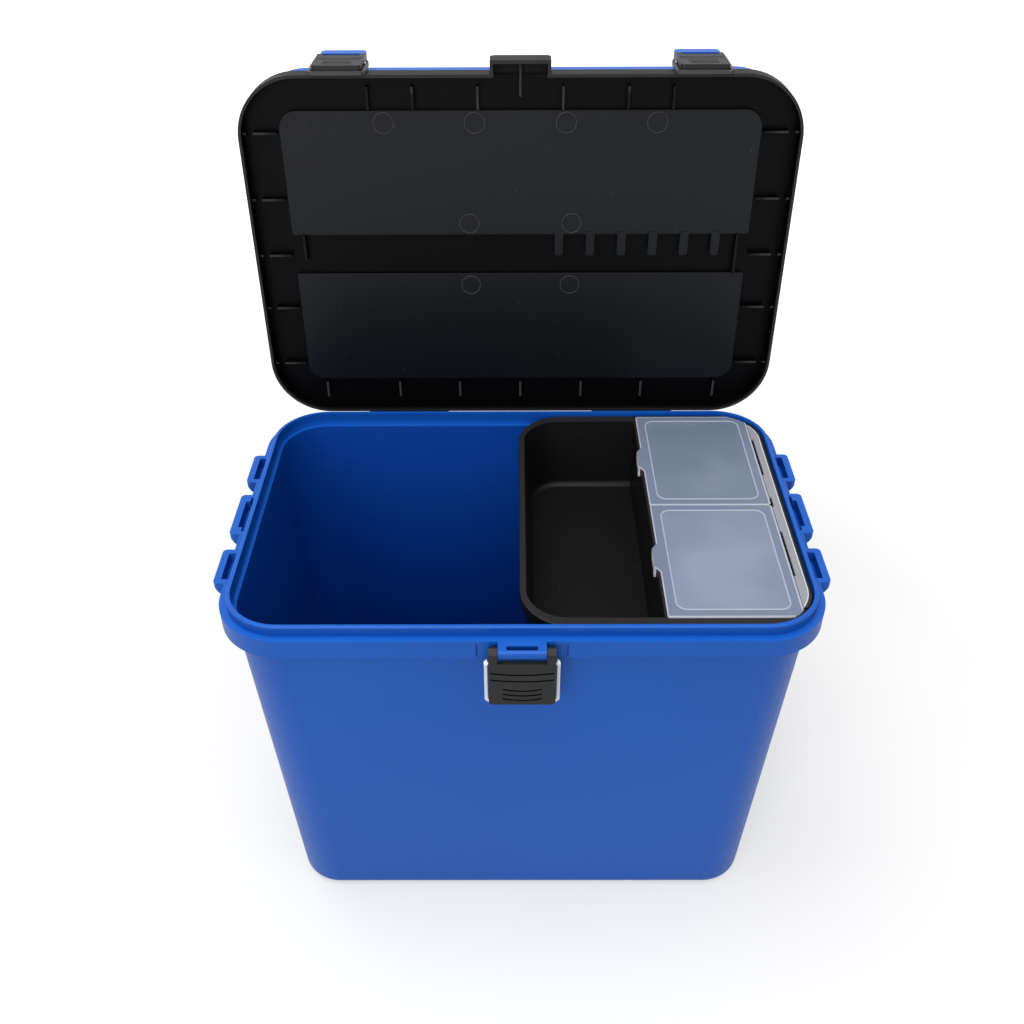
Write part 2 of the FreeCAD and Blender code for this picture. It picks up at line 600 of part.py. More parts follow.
tub_web = [(HALF_D + " - skirt_thickness / 2", HINGE_Z), (HINGE_Y + " + knuckle_radius - 0.6", HINGE_Z),
           (HINGE_Y + " + knuckle_radius - 1.2", HINGE_Z + " - 3"),
           (HALF_D, "ledge_height - skirt_height + 1"),
           (HALF_D + " - skirt_thickness / 2", "ledge_height - skirt_height + 1")]
tub_knuckles = []
for knuckle_name, x_near, x_far in (("inner_knuckle", "hinge_inner", "hinge_inner + knuckle_length"),
                                    ("outer_knuckle", HINGE_OUTER + " - knuckle_length", HINGE_OUTER)):
    tub_knuckles += both(knuckle_name, knuckle(knuckle_name, x_near, x_far, HINGE_Y, HINGE_Z, tub_web))
tub_bore = bar("tub_bore", "-%s - 1" % HINGE_OUTER, HINGE_OUTER + " + 1", HINGE_Y, HINGE_Z,
               "hinge_pin_radius + pin_play")
swing_room = block("swing_room", "hinge_inner + knuckle_length + knuckle_gap - swing_gap",
                   HINGE_OUTER + " - knuckle_length - knuckle_gap + swing_gap",
                   HINGE_Y + " - knuckle_radius - swing_gap", HINGE_Y + " + knuckle_radius + 2",
                   HINGE_Z + " - knuckle_radius - swing_gap", "ledge_height + 1")

tub_body = fuse("tub_body", [rim, lip_round, walls_full, latch_base_round] + lugs + tub_knuckles)
tub_open = cut("tub_open", tub_body, [cavity, mouth])
tub = node("tub", cut("tub_cut", tub_open, [front_notch, latch_slot, latch_bores, tub_bore]
                      + both("swing_room", swing_room) + lug_slots))

# The notch leaves the latch lug whole: it is put back after the skirt's gap is cut.
lug_core = cut("lug_core", latch_base_round, [latch_slot, latch_bores])
tub = node("tub", fuse("tub_piece", [tub, lug_core]))


def pin_pair(name, inner, outer, y, z):
    """Two equal pins, one in each hinge."""
    right = bar(name + "_right", inner, outer, y, z, "hinge_pin_radius")
    pair = doc.addObject("Part::Compound", name)
    pair.Links = both(name, right)
    return pair


node("main_hinge_pins", pin_pair("main_pins", "hinge_inner + 0.5", HINGE_OUTER + " - 0.5", HINGE_Y,
                                 HINGE_Z))
node("seat_hinge_pins", pin_pair("seat_pins", "seat_hinge_inner + 0.5", SEAT_HINGE_OUTER + " - 0.5",
                                 SEAT_HINGE_Y,
                                 SEAT_HINGE_Z), opened=True)

# Upper section: a rim and a ribbed deck, with the walls of the upper compartment above it.
cap_full = ring_block("cap_full", RIM_Z, DECK_Z, "0")
cap_round = fillet("cap_round", cap_full, "1.5", lambda p, e: p.z > num(DECK_Z) - 0.01)
cap_hollow = ring_block("cap_hollow", RIM_Z, DECK_UNDER, "rim_wall")
upper_full = ring_block("upper_full", DECK_Z, UPPER_TOP, "upper_inset")
upper_hollow = ring_block("upper_hollow", DECK_Z, UPPER_TOP, "(upper_inset + upper_wall)")

RIB_Z = "(%s + rib_level)" % RIM_Z
RIB_X = "(tub_width / 2 - ledge_width - lip_thickness - lip_clearance)"
RIB_Y = "(tub_depth / 2 - ledge_width - lip_thickness - lip_clearance)"


def rib(name, x0, x1, y0, y1):
    """A rib under the deck."""
    return block(name, x0, x1, y0, y1, RIB_Z, DECK_UNDER + " + 0.5")


ribs = []
for k, place in enumerate(("-side_rib_y2", "-side_rib_y1", "0", "side_rib_y1", "side_rib_y2")):
    y0, y1 = "%s - rib_thickness / 2" % place, "%s + rib_thickness / 2" % place
    ribs += both("side_rib_%d" % k, rib("side_rib_%d" % k, PANEL_HALF + " + 2", RIB_X, y0, y1))
    ribs += both("side_stub_%d" % k, rib("side_stub_%d" % k, HALF_W + " - ledge_width + lip_clearance / 2",
                                         HALF_W + " - rim_wall / 2", y0, y1))
for k, place in enumerate(("front_rib_x1", "front_rib_x2", "front_rib_x3")):
    front = rib("front_rib_%d" % k, "%s - rib_thickness / 2" % place, "%s + rib_thickness / 2" % place,
                minus(RIB_Y), "-%s - 1" % PANEL_OUTER)
    ribs += both("front_rib_%d" % k, front)
for k, place in enumerate(("rear_rib_x1", "rear_rib_x2", "rear_rib_x3")):
    rear = rib("rear_rib_%d" % k, "%s - rib_thickness / 2" % place, "%s + rib_thickness / 2" % place,
               PANEL_OUTER + " + 2", RIB_Y + " - 1")
    ribs += both("rear_rib_%d" % k, rear)
ribs.append(rib("rear_rib_middle", "-rib_thickness / 2", "rib_thickness / 2", PANEL_OUTER + " + 2",
                RIB_Y + " - 1"))
ribs.append(block("catch_rib", "-rib_thickness / 2", "rib_thickness / 2", FRONT + " - front_boss_reach + 1",
                  "-%s - 9" % PANEL_OUTER, "ledge_height + lip_height + lip_clearance",
                  DECK_UNDER + " + 0.5"))
for k, (sign, y1) in enumerate((("-", "4"), ("", "panel_inner_y"))):
    middle = "%s(%s - 8)" % (sign, PANEL_HALF)
    ribs.append(rib("gap_rib_%d" % k, middle + " - rib_thickness / 2", middle + " + rib_thickness / 2",
                    "-panel_inner_y", y1))

OUTER_POST = PANEL_HALF + " - post_end_inset"
POSTS = [(OUTER_POST, "-%s + post_edge_inset + 1" % PANEL_OUTER),
         ("front_post_x", "-%s + post_edge_inset" % PANEL_OUTER),
         ("middle_post_x", "-%s + post_edge_inset" % PANEL_OUTER),
         ("inner_post_x", "-panel_inner_y - post_edge_inset"),
         ("inner_post_x", "panel_inner_y + post_edge_inset + 0.6"),
         ("middle_post_x", PANEL_OUTER + " - post_edge_inset"),
         (OUTER_POST, PANEL_OUTER + " - post_edge_inset")]
posts = []
for k, (post_x, post_y) in enumerate(POSTS):
    right_post = post("post_%d" % k, post_x, post_y, RIM_Z + " + panel_level + panel_thickness",
                      DECK_UNDER + " + 0.5",
                      "post_radius")
    posts += both("post_%d" % k, right_post)


def hollow_catch(name, middle, half, tip, root, z0, z1, inside):
    """A hollow catch that is open below: its outline with rounded upper corners, and its hollow."""
    outside = slab(name + "_outside", "XZ", tip, root, loop, "%s - %s" % (middle, half),
                   "%s + %s" % (middle, half),
                   z0, z1, ["0.3", "0.3", "3.5", "3.5"])
    hollow = slab(name + "_hollow", "XZ", tip + " + boss_wall", inside, loop,
                  "%s - %s + boss_wall" % (middle, half), "%s + %s - boss_wall" % (middle, half),
                  z0 + " - 1", z1 + " - boss_wall", ["0.3", "0.3", "1.5", "1.5"])
    return outside, hollow


front_catch, front_catch_hollow = hollow_catch(
    "front_catch", "0", "front_boss_half", FRONT + " - front_boss_reach", FRONT + " + rim_wall / 2", RIM_Z,
    RIM_Z + " + front_boss_height", FRONT + " + rim_wall + 0.5")

UPPER_FRONT = "-(%s - upper_inset)" % HALF_D
side_base_tip = SIDE_PIVOT_Y + " - 3.1"
side_bases = []
for k, sign in enumerate(("-", "")):
    middle = sign + LID_BOSS_X
    side_bases.append(block("side_base_%d" % k, "%s - side_base_half" % middle,
                            "%s + side_base_half" % middle,
                            side_base_tip, UPPER_FRONT + " + upper_wall / 2", SIDE_PIVOT_Z + " - 3.1",
                            SIDE_PIVOT_Z + " + 3.1"))
side_base_rounds = [fillet("side_base_round_%d" % k, base, "lug_edge_radius",
                           lambda p, e: p.y < num(side_base_tip) + 0.01 and e.Length > num("side_base_half"))
                    for k, base in enumerate(side_bases)]
side_bores = []
for k, sign in enumerate(("-", "")):
    middle = sign + LID_BOSS_X
    for j, (x0, x1) in enumerate((("%s - side_base_half - 1", "%s - side_base_half + lever_stub + arm_gap"),
                                  ("%s + side_base_half - lever_stub - arm_gap",
                                   "%s + side_base_half + 1"))):
        side_bores.append(bar("side_bore_%d_%d" % (k, j), x0 % middle, x1 % middle, SIDE_PIVOT_Y,
                              SIDE_PIVOT_Z,
                              "pin_radius + pin_play"))

main_leaf = [(HALF_D + " + 0.4", HINGE_Z), (HINGE_Y + " + knuckle_radius - 0.9", HINGE_Z),
             (HINGE_Y + " + knuckle_radius - 0.9", HINGE_Z + " + 9"),
             (HALF_D + " + 1", HINGE_Z + " + 14.5"), (HALF_D + " - 1", HINGE_Z + " + 14.5"),
             (HALF_D + " - 1", RIM_Z + " + 0.5"), (HALF_D + " + 0.4", RIM_Z + " + 0.5")]
main_x0 = "hinge_inner + knuckle_length + knuckle_gap"
main_x1 = HINGE_OUTER + " - knuckle_length - knuckle_gap"
main_knuckle = knuckle("main_knuckle", main_x0, main_x1, HINGE_Y, HINGE_Z, main_leaf)
stop_flap = block("stop_flap", main_x0, main_x1, HINGE_Y, HINGE_Y + " + stop_reach",
                  HINGE_Z + " - hinge_out + 0.5",
                  HINGE_Z + " - 0.2")
main_bore = bar("main_bore", main_x0 + " - 1", main_x1 + " + 1", HINGE_Y, HINGE_Z,
                "hinge_pin_radius + pin_play")

seat_web = [(HALF_D + " - upper_inset - 0.8", SEAT_HINGE_Z + " - 13"),
            (SEAT_HINGE_Y + " + knuckle_radius - 0.6", SEAT_HINGE_Z + " - 3"),
            (SEAT_HINGE_Y + " + knuckle_radius - 0.3", SEAT_HINGE_Z),
            (SEAT_HINGE_Y + " - knuckle_radius + 0.1", SEAT_HINGE_Z),
            (SEAT_HINGE_Y + " - knuckle_radius + 0.1", SEAT_HINGE_Z + " - 1.6"),
            (HALF_D + " - upper_inset - 0.8", SEAT_HINGE_Z + " - 1.6")]
seat_knuckles = []
for knuckle_name, x_near, x_far in (
        ("seat_inner_knuckle", "seat_hinge_inner", "seat_hinge_inner + seat_knuckle_length"),
        ("seat_outer_knuckle", SEAT_HINGE_OUTER + " - seat_knuckle_length", SEAT_HINGE_OUTER)):
    seat_knuckles += both(knuckle_name, knuckle(knuckle_name, x_near, x_far, SEAT_HINGE_Y,
                                                SEAT_HINGE_Z, seat_web))
seat_bore = bar("seat_bore", "-%s - 1" % SEAT_HINGE_OUTER, SEAT_HINGE_OUTER + " + 1", SEAT_HINGE_Y,
                SEAT_HINGE_Z,
                "hinge_pin_radius + pin_play")

cap = cut("cap", cap_round, [cap_hollow])
upper_ring = cut("upper_ring", upper_full, [upper_hollow])
section_body = fuse("section_body",
                    [cap, upper_ring, front_catch] + side_base_rounds + seat_knuckles + posts
                    + both("main_knuckle", main_knuckle) + both("stop_flap", stop_flap))
section_open = cut("section_open", section_body, [front_catch_hollow, seat_bore] + side_bores
                   + both("main_bore", main_bore))
upper_section = node("upper_section", fuse("upper_section_piece", [section_open] + ribs), opened=True)

# Pocket panels: smoked plates on the deck's posts; the front one carries a comb.
PANEL_Z = "(%s + panel_level)" % RIM_Z
PANEL_TOP = "(%s + panel_level + panel_thickness)" % RIM_Z


def panel(name, y0, y1, radii):
    """A flat pocket panel."""
    return slab(name + "_plate", "XY", PANEL_Z, PANEL_TOP, loop, minus(PANEL_HALF), PANEL_HALF, y0, y1,
                radii)


front_plate = panel("front_panel", minus(PANEL_OUTER), "-panel_inner_y",
                    ["panel_corner", "panel_corner", "1", "1"])
rear_plate = panel("rear_panel", "panel_inner_y", PANEL_OUTER, ["1", "1", "panel_corner", "panel_corner"])
teeth = []
for k in range(6):
    middle = "tooth_first_x + %d * tooth_pitch" % k
    teeth.append(slab("tooth_%d" % k, "XY", PANEL_Z + " - 1.2", PANEL_TOP, loop,
                      "%s - tooth_width / 2" % middle,
                      "%s + tooth_width / 2" % middle, "-panel_inner_y - 1.5",
                      "-panel_inner_y + tooth_length",
                      ["0.5", "0.5", "1.5", "1.5"]))
node("pocket_panel_front", fuse("pocket_panel_front_piece", [front_plate] + teeth), opened=True)
node("pocket_panel_rear", rear_plate, opened=True)

# Seat lid: a flange round the upper wall and a shallow rise that leans in to the rounded seat.
flange_full = ring_block("flange_full", FLANGE_Z, FLANGE_TOP, "lid_inset")
rise_low = sketch("rise_low", "XY", FLANGE_TOP)
framed(rise_low, "lid_inset", "corner_radius - lid_inset")
rise_high = sketch("rise_high", "XY", SEAT_Z)
framed(rise_high, "(lid_inset + lid_top_inset)", "corner_radius - lid_inset - 2")
rise_sharp = loft("rise_sharp", rise_low, rise_high)
rise_full = fillet("rise_full", rise_sharp, "lid_edge_radius", lambda p, e: p.z > num(SEAT_Z) - 0.01)
flange_hollow = ring_block("flange_hollow", FLANGE_Z, FLANGE_TOP, "(lid_inset + lid_wall)")
hollow_low = sketch("hollow_low", "XY", FLANGE_TOP)
framed(hollow_low, "(lid_inset + lid_wall)", "corner_radius - lid_inset - lid_wall")
hollow_high = sketch("hollow_high", "XY", SEAT_Z + " - lid_wall")
framed(hollow_high, "(lid_inset + lid_top_inset + lid_wall - 0.9)",
       "corner_radius - lid_inset - lid_wall - 2")
rise_hollow_sharp = loft("rise_hollow_sharp", hollow_low, hollow_high)
rise_hollow = fillet("rise_hollow", rise_hollow_sharp, "lid_edge_radius - lid_wall",
                     lambda p, e: p.z > num(SEAT_Z + " - lid_wall") - 0.01)
LID_FRONT = "-(%s - lid_inset)" % HALF_D
lid_catches = []
lid_catch_hollows = []
for k, sign in enumerate(("-", "")):
    catch, catch_hollow = hollow_catch("lid_catch_%d" % k, sign + LID_BOSS_X, "lid_boss_half",
                                       LID_FRONT + " - lid_boss_reach", LID_FRONT + " + lid_wall - 0.4",
                                       FLANGE_Z + " + 0.8", FLANGE_Z + " + 0.8 + lid_boss_height",
                                       LID_FRONT)
    lid_catches.append(catch)
    lid_catch_hollows.append(catch_hollow)
lid_leaf = [(HALF_D + " - lid_inset - 0.7", SEAT_HINGE_Z + " + 1.5"),
            (SEAT_HINGE_Y + " - knuckle_radius + 0.1", SEAT_HINGE_Z + " + 1.5"),
            (SEAT_HINGE_Y + " - knuckle_radius + 0.1", SEAT_HINGE_Z),
            (SEAT_HINGE_Y + " + knuckle_radius - 0.5", SEAT_HINGE_Z),
            (SEAT_HINGE_Y + " + knuckle_radius - 0.5", SEAT_HINGE_Z + " + 2.5"),
            (HALF_D + " - lid_inset + 1.3", SEAT_HINGE_Z + " + 7.8"),
            (HALF_D + " - lid_inset - 0.7", SEAT_HINGE_Z + " + 7.8")]
lid_x0 = "seat_hinge_inner + seat_knuckle_length + knuckle_gap"
lid_x1 = SEAT_HINGE_OUTER + " - seat_knuckle_length - knuckle_gap"
lid_knuckle = knuckle("lid_knuckle", lid_x0, lid_x1, SEAT_HINGE_Y, SEAT_HINGE_Z, lid_leaf)
lid_bore = bar("lid_bore", lid_x0 + " - 1", lid_x1 + " + 1", SEAT_HINGE_Y, SEAT_HINGE_Z,
               "hinge_pin_radius + pin_play")
lid_shell = cut("lid_shell", fuse("lid_outside", [flange_full, rise_full]), [flange_hollow, rise_hollow])
lid_body = fuse("lid_body", [lid_shell] + lid_catches + both("lid_knuckle", lid_knuckle))
node("seat_lid", cut("seat_lid_piece", lid_body, lid_catch_hollows + both("lid_bore", lid_bore)),
     opened=True)


def lever(name, middle, half, base_half, pivot, out, length, drop, grooves):
    """A latch lever: a grooved plate, side flanges, and arms with pivot stubs either side of a lug."""
    pivot_y, pivot_z = pivot
    low, high = "%s - %s" % (middle, half), "%s + %s" % (middle, half)
    arm_low, arm_high = "%s - %s - arm_gap" % (middle, base_half), "%s + %s + arm_gap" % (middle, base_half)
    face, tail = "%s - %s" % (pivot_y, out), "%s - %s" % (pivot_z, length)
    notch_z = pivot_z + " - lever_notch"
    bail_y, bail_z = pivot_y + " + over_centre", "%s - %s" % (pivot_z, drop)
    plate = slab(name + "_plate", "XZ", face, face + " + lever_plate", loop, low, high, tail,
                 pivot_z + " + lever_head", ["2.5", "2.5", "0.6", "0.6"])
    lip = slab(name + "_lip", "XZ", face, face + " + tail_lip", loop, low, high, tail, tail + " + 3.2",
               ["2.5", "2.5", "0.4", "0.4"])
    top = [(pivot_y + " + arm_radius", pivot_z), (pivot_y, pivot_z + " + arm_radius"),
           (face + " + 1.2", pivot_z + " + lever_head + 0.2"), (face + " + 0.3", pivot_z)]
    flange_outline = [(face + " + 0.6", tail + " + 2.5"), (face + " + tail_lip", tail + " + 2.5"),
                      (bail_y + " + 1.9", bail_z + " - 3"), (bail_y + " + 2.2", bail_z + " + 1.5")] + top
    arm_outline = [(face + " + 0.3", notch_z), (pivot_y + " + arm_radius", notch_z)] + top
    pieces = [plate, lip]
    sides = ((low, low + " + lever_flange", low, arm_low, arm_low + " - 0.6", arm_low + " + lever_stub"),
             (high + " - lever_flange", high, arm_high, high, arm_high + " - lever_stub",
              arm_high + " + 0.6"))
    for k, (f0, f1, a0, a1, s0, s1) in enumerate(sides):
        pieces.append(slab("%s_flange_%d" % (name, k), "YZ", f0, f1, poly, flange_outline))
        pieces.append(slab("%s_arm_%d" % (name, k), "YZ", a0, a1, poly, arm_outline))
        pieces.append(bar("%s_eye_%d" % (name, k), a0, a1, pivot_y, pivot_z, "arm_radius"))
    tools = [block(name + "_notch", arm_low, arm_high, face + " - 1", pivot_y + " + 6", notch_z,
                   pivot_z + " + 6"),
             bar(name + "_pin_hole", low + " - 1", high + " + 1", bail_y, bail_z,
                 "bail_pin_radius + pin_play / 2")]
    drawing = sketch(name + "_grooves_sketch", "XZ", face + " - 1")
    for share, rise in grooves:
        reach = "(%s - groove_side)" % half if share == "long" else "(%s * short_groove)" % half
        band(drawing, middle, reach, "%s + %s" % (tail, rise), "groove_sag", "groove_width")
    tools.append(extrude(name + "_grooves", drawing, "XZ", face + " - 1", face + " + groove_depth"))
    carved = cut(name + "_carved", fuse(name + "_body", pieces), tools)
    stubs = [bar("%s_stub_%d" % (name, k), each[4], each[5], pivot_y, pivot_z, "pin_radius")
             for k, each in enumerate(sides)]
    return fuse(name + "_piece", [carved] + stubs)


def bail(name, middle, half, pivot, drop, thickness, catch_top):
    """A latch bail: a U with cut corners, hanging from the lever, long enough to hook over its catch."""
    y, z = pivot[0] + " + over_centre", "(%s - %s)" % (pivot[1], drop)
    inner = "(%s + bail_gap)" % half
    outer = "(%s + bail_gap + bail_arm)" % half
    bar_top = "(2 * %s - %s - hook_gap)" % (z, catch_top)
    bar_low = "(%s - %s)" % (bar_top, thickness)
    outline = [("%s - %s" % (middle, outer), z + " + 0.6"),
               ("%s - %s" % (middle, outer), bar_low + " + bail_chamfer"),
               ("%s - %s + bail_chamfer" % (middle, outer), bar_low),
               ("%s + %s - bail_chamfer" % (middle, outer), bar_low),
               ("%s + %s" % (middle, outer), bar_low + " + bail_chamfer"),
               ("%s + %s" % (middle, outer), z + " + 0.6"),
               ("%s + %s" % (middle, inner), z + " + bail_eye"), ("%s + %s" % (middle, inner), bar_top),
               ("%s - %s" % (middle, inner), bar_top), ("%s - %s" % (middle, inner), z + " + bail_eye")]
    loop_piece = slab(name + "_loop", "XZ", "%s - %s / 2" % (y, thickness),
                      "%s + %s / 2" % (y, thickness), poly, outline)
    eyes = [bar(name + "_eye_left", "%s - %s + 0.5" % (middle, outer), "%s - %s" % (middle, inner), y,
                z, "bail_eye"),
            bar(name + "_eye_right", "%s + %s" % (middle, inner), "%s + %s - 0.5" % (middle, outer), y,
                z, "bail_eye")]
    hole = bar(name + "_hole", "%s - %s - 1" % (middle, outer), "%s + %s + 1" % (middle, outer), y, z,
               "bail_pin_radius + pin_play")
    return cut(name + "_piece", fuse(name + "_body", [loop_piece] + eyes), [hole])


def bail_pin(name, middle, half, pivot, drop):
    """The bail's pin, fixed in the lever's flanges."""
    reach = "(%s + bail_gap + bail_arm)" % half
    result = doc.addObject("Part::Compound", name + "_piece")
    result.Links = [bar(name + "_bar", "%s - %s" % (middle, reach), "%s + %s" % (middle, reach),
                        pivot[0] + " + over_centre", "%s - %s" % (pivot[1], drop), "bail_pin_radius")]
    return result


FRONT_GROOVES = [("short", "4.7"), ("short", "8.7"), ("short", "12.8"), ("long", "21"), ("long", "26.5")]
SIDE_GROOVES = [("short", "4.2"), ("short", "7.6"), ("short", "11"), ("long", "16.6"), ("long", "20.8")]
FRONT_PIVOT = (FRONT_PIVOT_Y, FRONT_PIVOT_Z)
SIDE_PIVOT = (SIDE_PIVOT_Y, SIDE_PIVOT_Z)
FRONT_CATCH_TOP = "(%s + front_boss_height)" % RIM_Z
LID_CATCH_TOP = "(%s + 0.8 + lid_boss_height)" % FLANGE_Z
LATCHES = [("front", "0", "front_", FRONT_PIVOT, FRONT_CATCH_TOP, FRONT_GROOVES, False),
           ("left", minus(LID_BOSS_X), "side_", SIDE_PIVOT, LID_CATCH_TOP, SIDE_GROOVES, True),
           ("right", LID_BOSS_X, "side_", SIDE_PIVOT, LID_CATCH_TOP, SIDE_GROOVES, True)]
for latch, middle, kind, pivot, catch_top, grooves, opened in LATCHES:
    half, drop = kind + "lever_half", kind + "bail_drop"
    node(latch + "_latch_lever", lever(latch + "_lever", middle, half, kind + "base_half", pivot,
                                       kind + "lever_out",
                                       kind + "lever_length", drop, grooves), opened)
    node(latch + "_latch_bail", bail(latch + "_bail", middle, half, pivot, drop, kind + "bail_bar",
                                     catch_top), opened)
    node(latch + "_bail_pin", bail_pin(latch + "_pin", middle, half, pivot, drop), opened)

# Tray: a rim that rests on the tub's step, a drafted bucket and two dividers.
tray_radius = "corner_radius - ledge_width - lip_thickness - tray_gap"
tray_rim = slab("tray_rim", "XY", TRAY_RIM_Z, TRAY_TOP, loop, TRAY_LEFT, TRAY_RIGHT, minus(TRAY_END),
                TRAY_END, tray_radius)
tray_rim_round = fillet("tray_rim_round", tray_rim, "0.9", lambda p, e: p.z > num(TRAY_TOP) - 0.01)


def bucket(name, z_low, z_high, wall, radius):
    """The tray's bucket as a drafted solid; the wall is what it is larger by than the hollow."""
    pair = []
    for suffix, level, lean in (("_low", z_low, " + tray_draft"), ("_high", z_high, "")):
        near, far = "tray_rim_band - %s%s" % (wall, lean), "tray_end_band - %s%s" % (wall, lean)
        drawing = sketch(name + suffix, "XY", level)
        loop(drawing, "%s + %s" % (TRAY_LEFT, near), "%s - (%s)" % (TRAY_RIGHT, far),
             "-(%s - (%s))" % (TRAY_END, far),
             "%s - (%s)" % (TRAY_END, far), radius + (" - 3" if lean else ""))
        pair.append(drawing)
    return loft(name, *pair)


bucket_sharp = bucket("bucket_sharp", TRAY_BASE, TRAY_TOP + " - 1", "tray_wall", tray_radius + " - 6")
bucket_full = fillet("bucket_full", bucket_sharp, "tray_floor_radius", lambda p,
                     e: p.z < num(TRAY_BASE) + 0.01)
hollow_sharp = bucket("hollow_sharp", TRAY_BASE + " + tray_wall", TRAY_TOP + " + 1", "0",
                      tray_radius + " - 7.6")
bucket_hollow = fillet("bucket_hollow", hollow_sharp, "tray_floor_radius - tray_wall",
                       lambda p, e: p.z < num(TRAY_BASE + " + tray_wall") + 0.01)
tray_shell = cut("tray_shell", fuse("tray_outside", [tray_rim_round, bucket_full]), [bucket_hollow])
long_divider = block("long_divider", DIVIDER_X + " - divider_thickness / 2",
                     DIVIDER_X + " + divider_thickness / 2",
                     minus(TRAY_END), TRAY_END, TRAY_BASE + " + 0.5", TRAY_TOP)
cross_divider = block("cross_divider", DIVIDER_X, TRAY_RIGHT, "split_y - divider_thickness / 2",
                      "split_y + divider_thickness / 2", TRAY_BASE + " + 0.5", TRAY_TOP)
dividers = common("dividers", fuse("dividers_full", [long_divider, cross_divider]),
                  fuse("tray_envelope", [tray_rim, bucket_full]))
node("tray", fuse("tray_piece", [tray_shell, dividers]))

# Lids of the tray: two snap lids and the slotted strip that their living hinges hang on.
LID_TOP = "(%s + tray_lid_thickness)" % LID_Z
LID_LEFT = "(%s + tray_lid_lap)" % DIVIDER_X
STRIP_LEFT = "(%s + tray_lid_thickness / 2 + lid_hinge_gap)" % TRAY_HINGE_X
STRIP_REAR = "(%s - strip_rear_inset)" % TRAY_END
STRIP_FRONT = "(strip_front_inset - %s)" % TRAY_END


def corner_plate(name, inset):
    """A plate in the tray's outline, smaller by an inset; it rounds what lies on the rim."""
    return slab(name, "XY", TRAY_TOP, LID_TOP, loop, "%s + %s" % (TRAY_LEFT, inset),
                "%s - %s" % (TRAY_RIGHT, inset),
                "%s - %s" % (inset, TRAY_END), "%s - %s" % (TRAY_END, inset),
                "%s - %s" % (tray_radius, inset))


strip_plate = slab("strip_plate", "XY", TRAY_TOP, LID_TOP, loop, STRIP_LEFT, TRAY_RIGHT + " - strip_inset",
                   STRIP_FRONT, STRIP_REAR, "0.6")
strip = common("strip", strip_plate, corner_plate("strip_corners", "strip_corner_inset"))
JOINT_GAP = "(split_y + joint_slot_shift)"
strip_slots = [block("strip_slot_%d" % k, STRIP_LEFT + " - 1", STRIP_LEFT + " + strip_slot_width", y0, y1,
                     TRAY_TOP + " - 1", LID_TOP + " + 1")
               for k, (y0, y1) in enumerate((
                   (JOINT_GAP + " + joint_slot_length / 2 + strip_bridge",
                    STRIP_REAR + " - strip_rear_bridge"),
                   (JOINT_GAP + " - joint_slot_length / 2", JOINT_GAP + " + joint_slot_length / 2"),
                   (STRIP_FRONT + " + strip_front_bridge",
                    JOINT_GAP + " - joint_slot_length / 2 - strip_bridge")))]
node("tray_hinge_strip", cut("tray_hinge_strip_piece", strip, strip_slots))


def tray_lid(name, y0, y1, radii, bead_y0, bead_y1, tab_y):
    """A snap lid: a plate with an outline ridge, a hinge bead and a hooked tab on its free edge."""
    plate = common(name + "_plate", slab(name + "_flat", "XY", LID_Z, LID_TOP, loop, LID_LEFT,
                                         TRAY_HINGE_X, y0, y1, radii),
                   corner_plate(name + "_corners", "lid_corner_inset"))
    bead = doc.addObject("Part::Cylinder", name + "_bead")
    bead.Placement = FreeCAD.Placement(V(), FreeCAD.Rotation(V(1, 0, 0), -90))
    bind(bead, "Radius", "tray_lid_thickness / 2")
    bind(bead, "Height", "%s - (%s)" % (bead_y1, bead_y0))
    bind(bead, "Placement.Base.x", TRAY_HINGE_X)
    bind(bead, "Placement.Base.y", bead_y0)
    bind(bead, "Placement.Base.z", LID_Z + " + tray_lid_thickness / 2")
    tab = slab(name + "_tab", "XY", LID_Z, LID_TOP, poly,
               [(LID_LEFT + " + 1", "%s - tab_length / 2 - tab_flare * 1.3" % tab_y),
                (LID_LEFT + " + 1", "%s + tab_length / 2 + tab_flare * 1.3" % tab_y),
                (LID_LEFT + " - tab_reach", "%s + tab_length / 2" % tab_y),
                (LID_LEFT + " - tab_reach", "%s - tab_length / 2" % tab_y)])
    blade = slab(name + "_blade", "YZ", LID_LEFT + " - tab_reach",
                 LID_LEFT + " - tab_reach + tab_thickness", poly,
                 [("%s - tab_length / 2" % tab_y, LID_TOP), ("%s + tab_length / 2" % tab_y, LID_TOP),
                  ("%s + tab_length / 2" % tab_y, LID_TOP + " - tab_drop * 0.45"),
                  ("%s + tab_length / 2 - 3" % tab_y, LID_TOP + " - tab_drop * 0.75"),
                  ("%s - tab_length / 2 + 5" % tab_y, LID_TOP + " - tab_drop * 0.75"),
                  ("%s - tab_length / 2 + 4" % tab_y, LID_TOP + " - tab_drop"),
                  ("%s - tab_length / 2" % tab_y, LID_TOP + " - tab_drop")])
    ridge = sketch(name + "_ridge_sketch", "XY", LID_TOP + " - 0.2")
    for more in ("", " + ridge_width"):
        inset = "(ridge_inset%s)" % more
        loop(ridge, "%s + %s" % (LID_LEFT, inset), "%s - %s" % (TRAY_HINGE_X, inset),
             "%s + %s" % (y0, inset),
             "%s - %s" % (y1, inset), "ridge_corner" + more.replace("+", "-"))
    outline = extrude(name + "_ridge", ridge, "XY", LID_TOP + " - 0.2", LID_TOP + " + ridge_height")
    return fuse(name + "_piece", [plate, bead, tab, blade, outline])


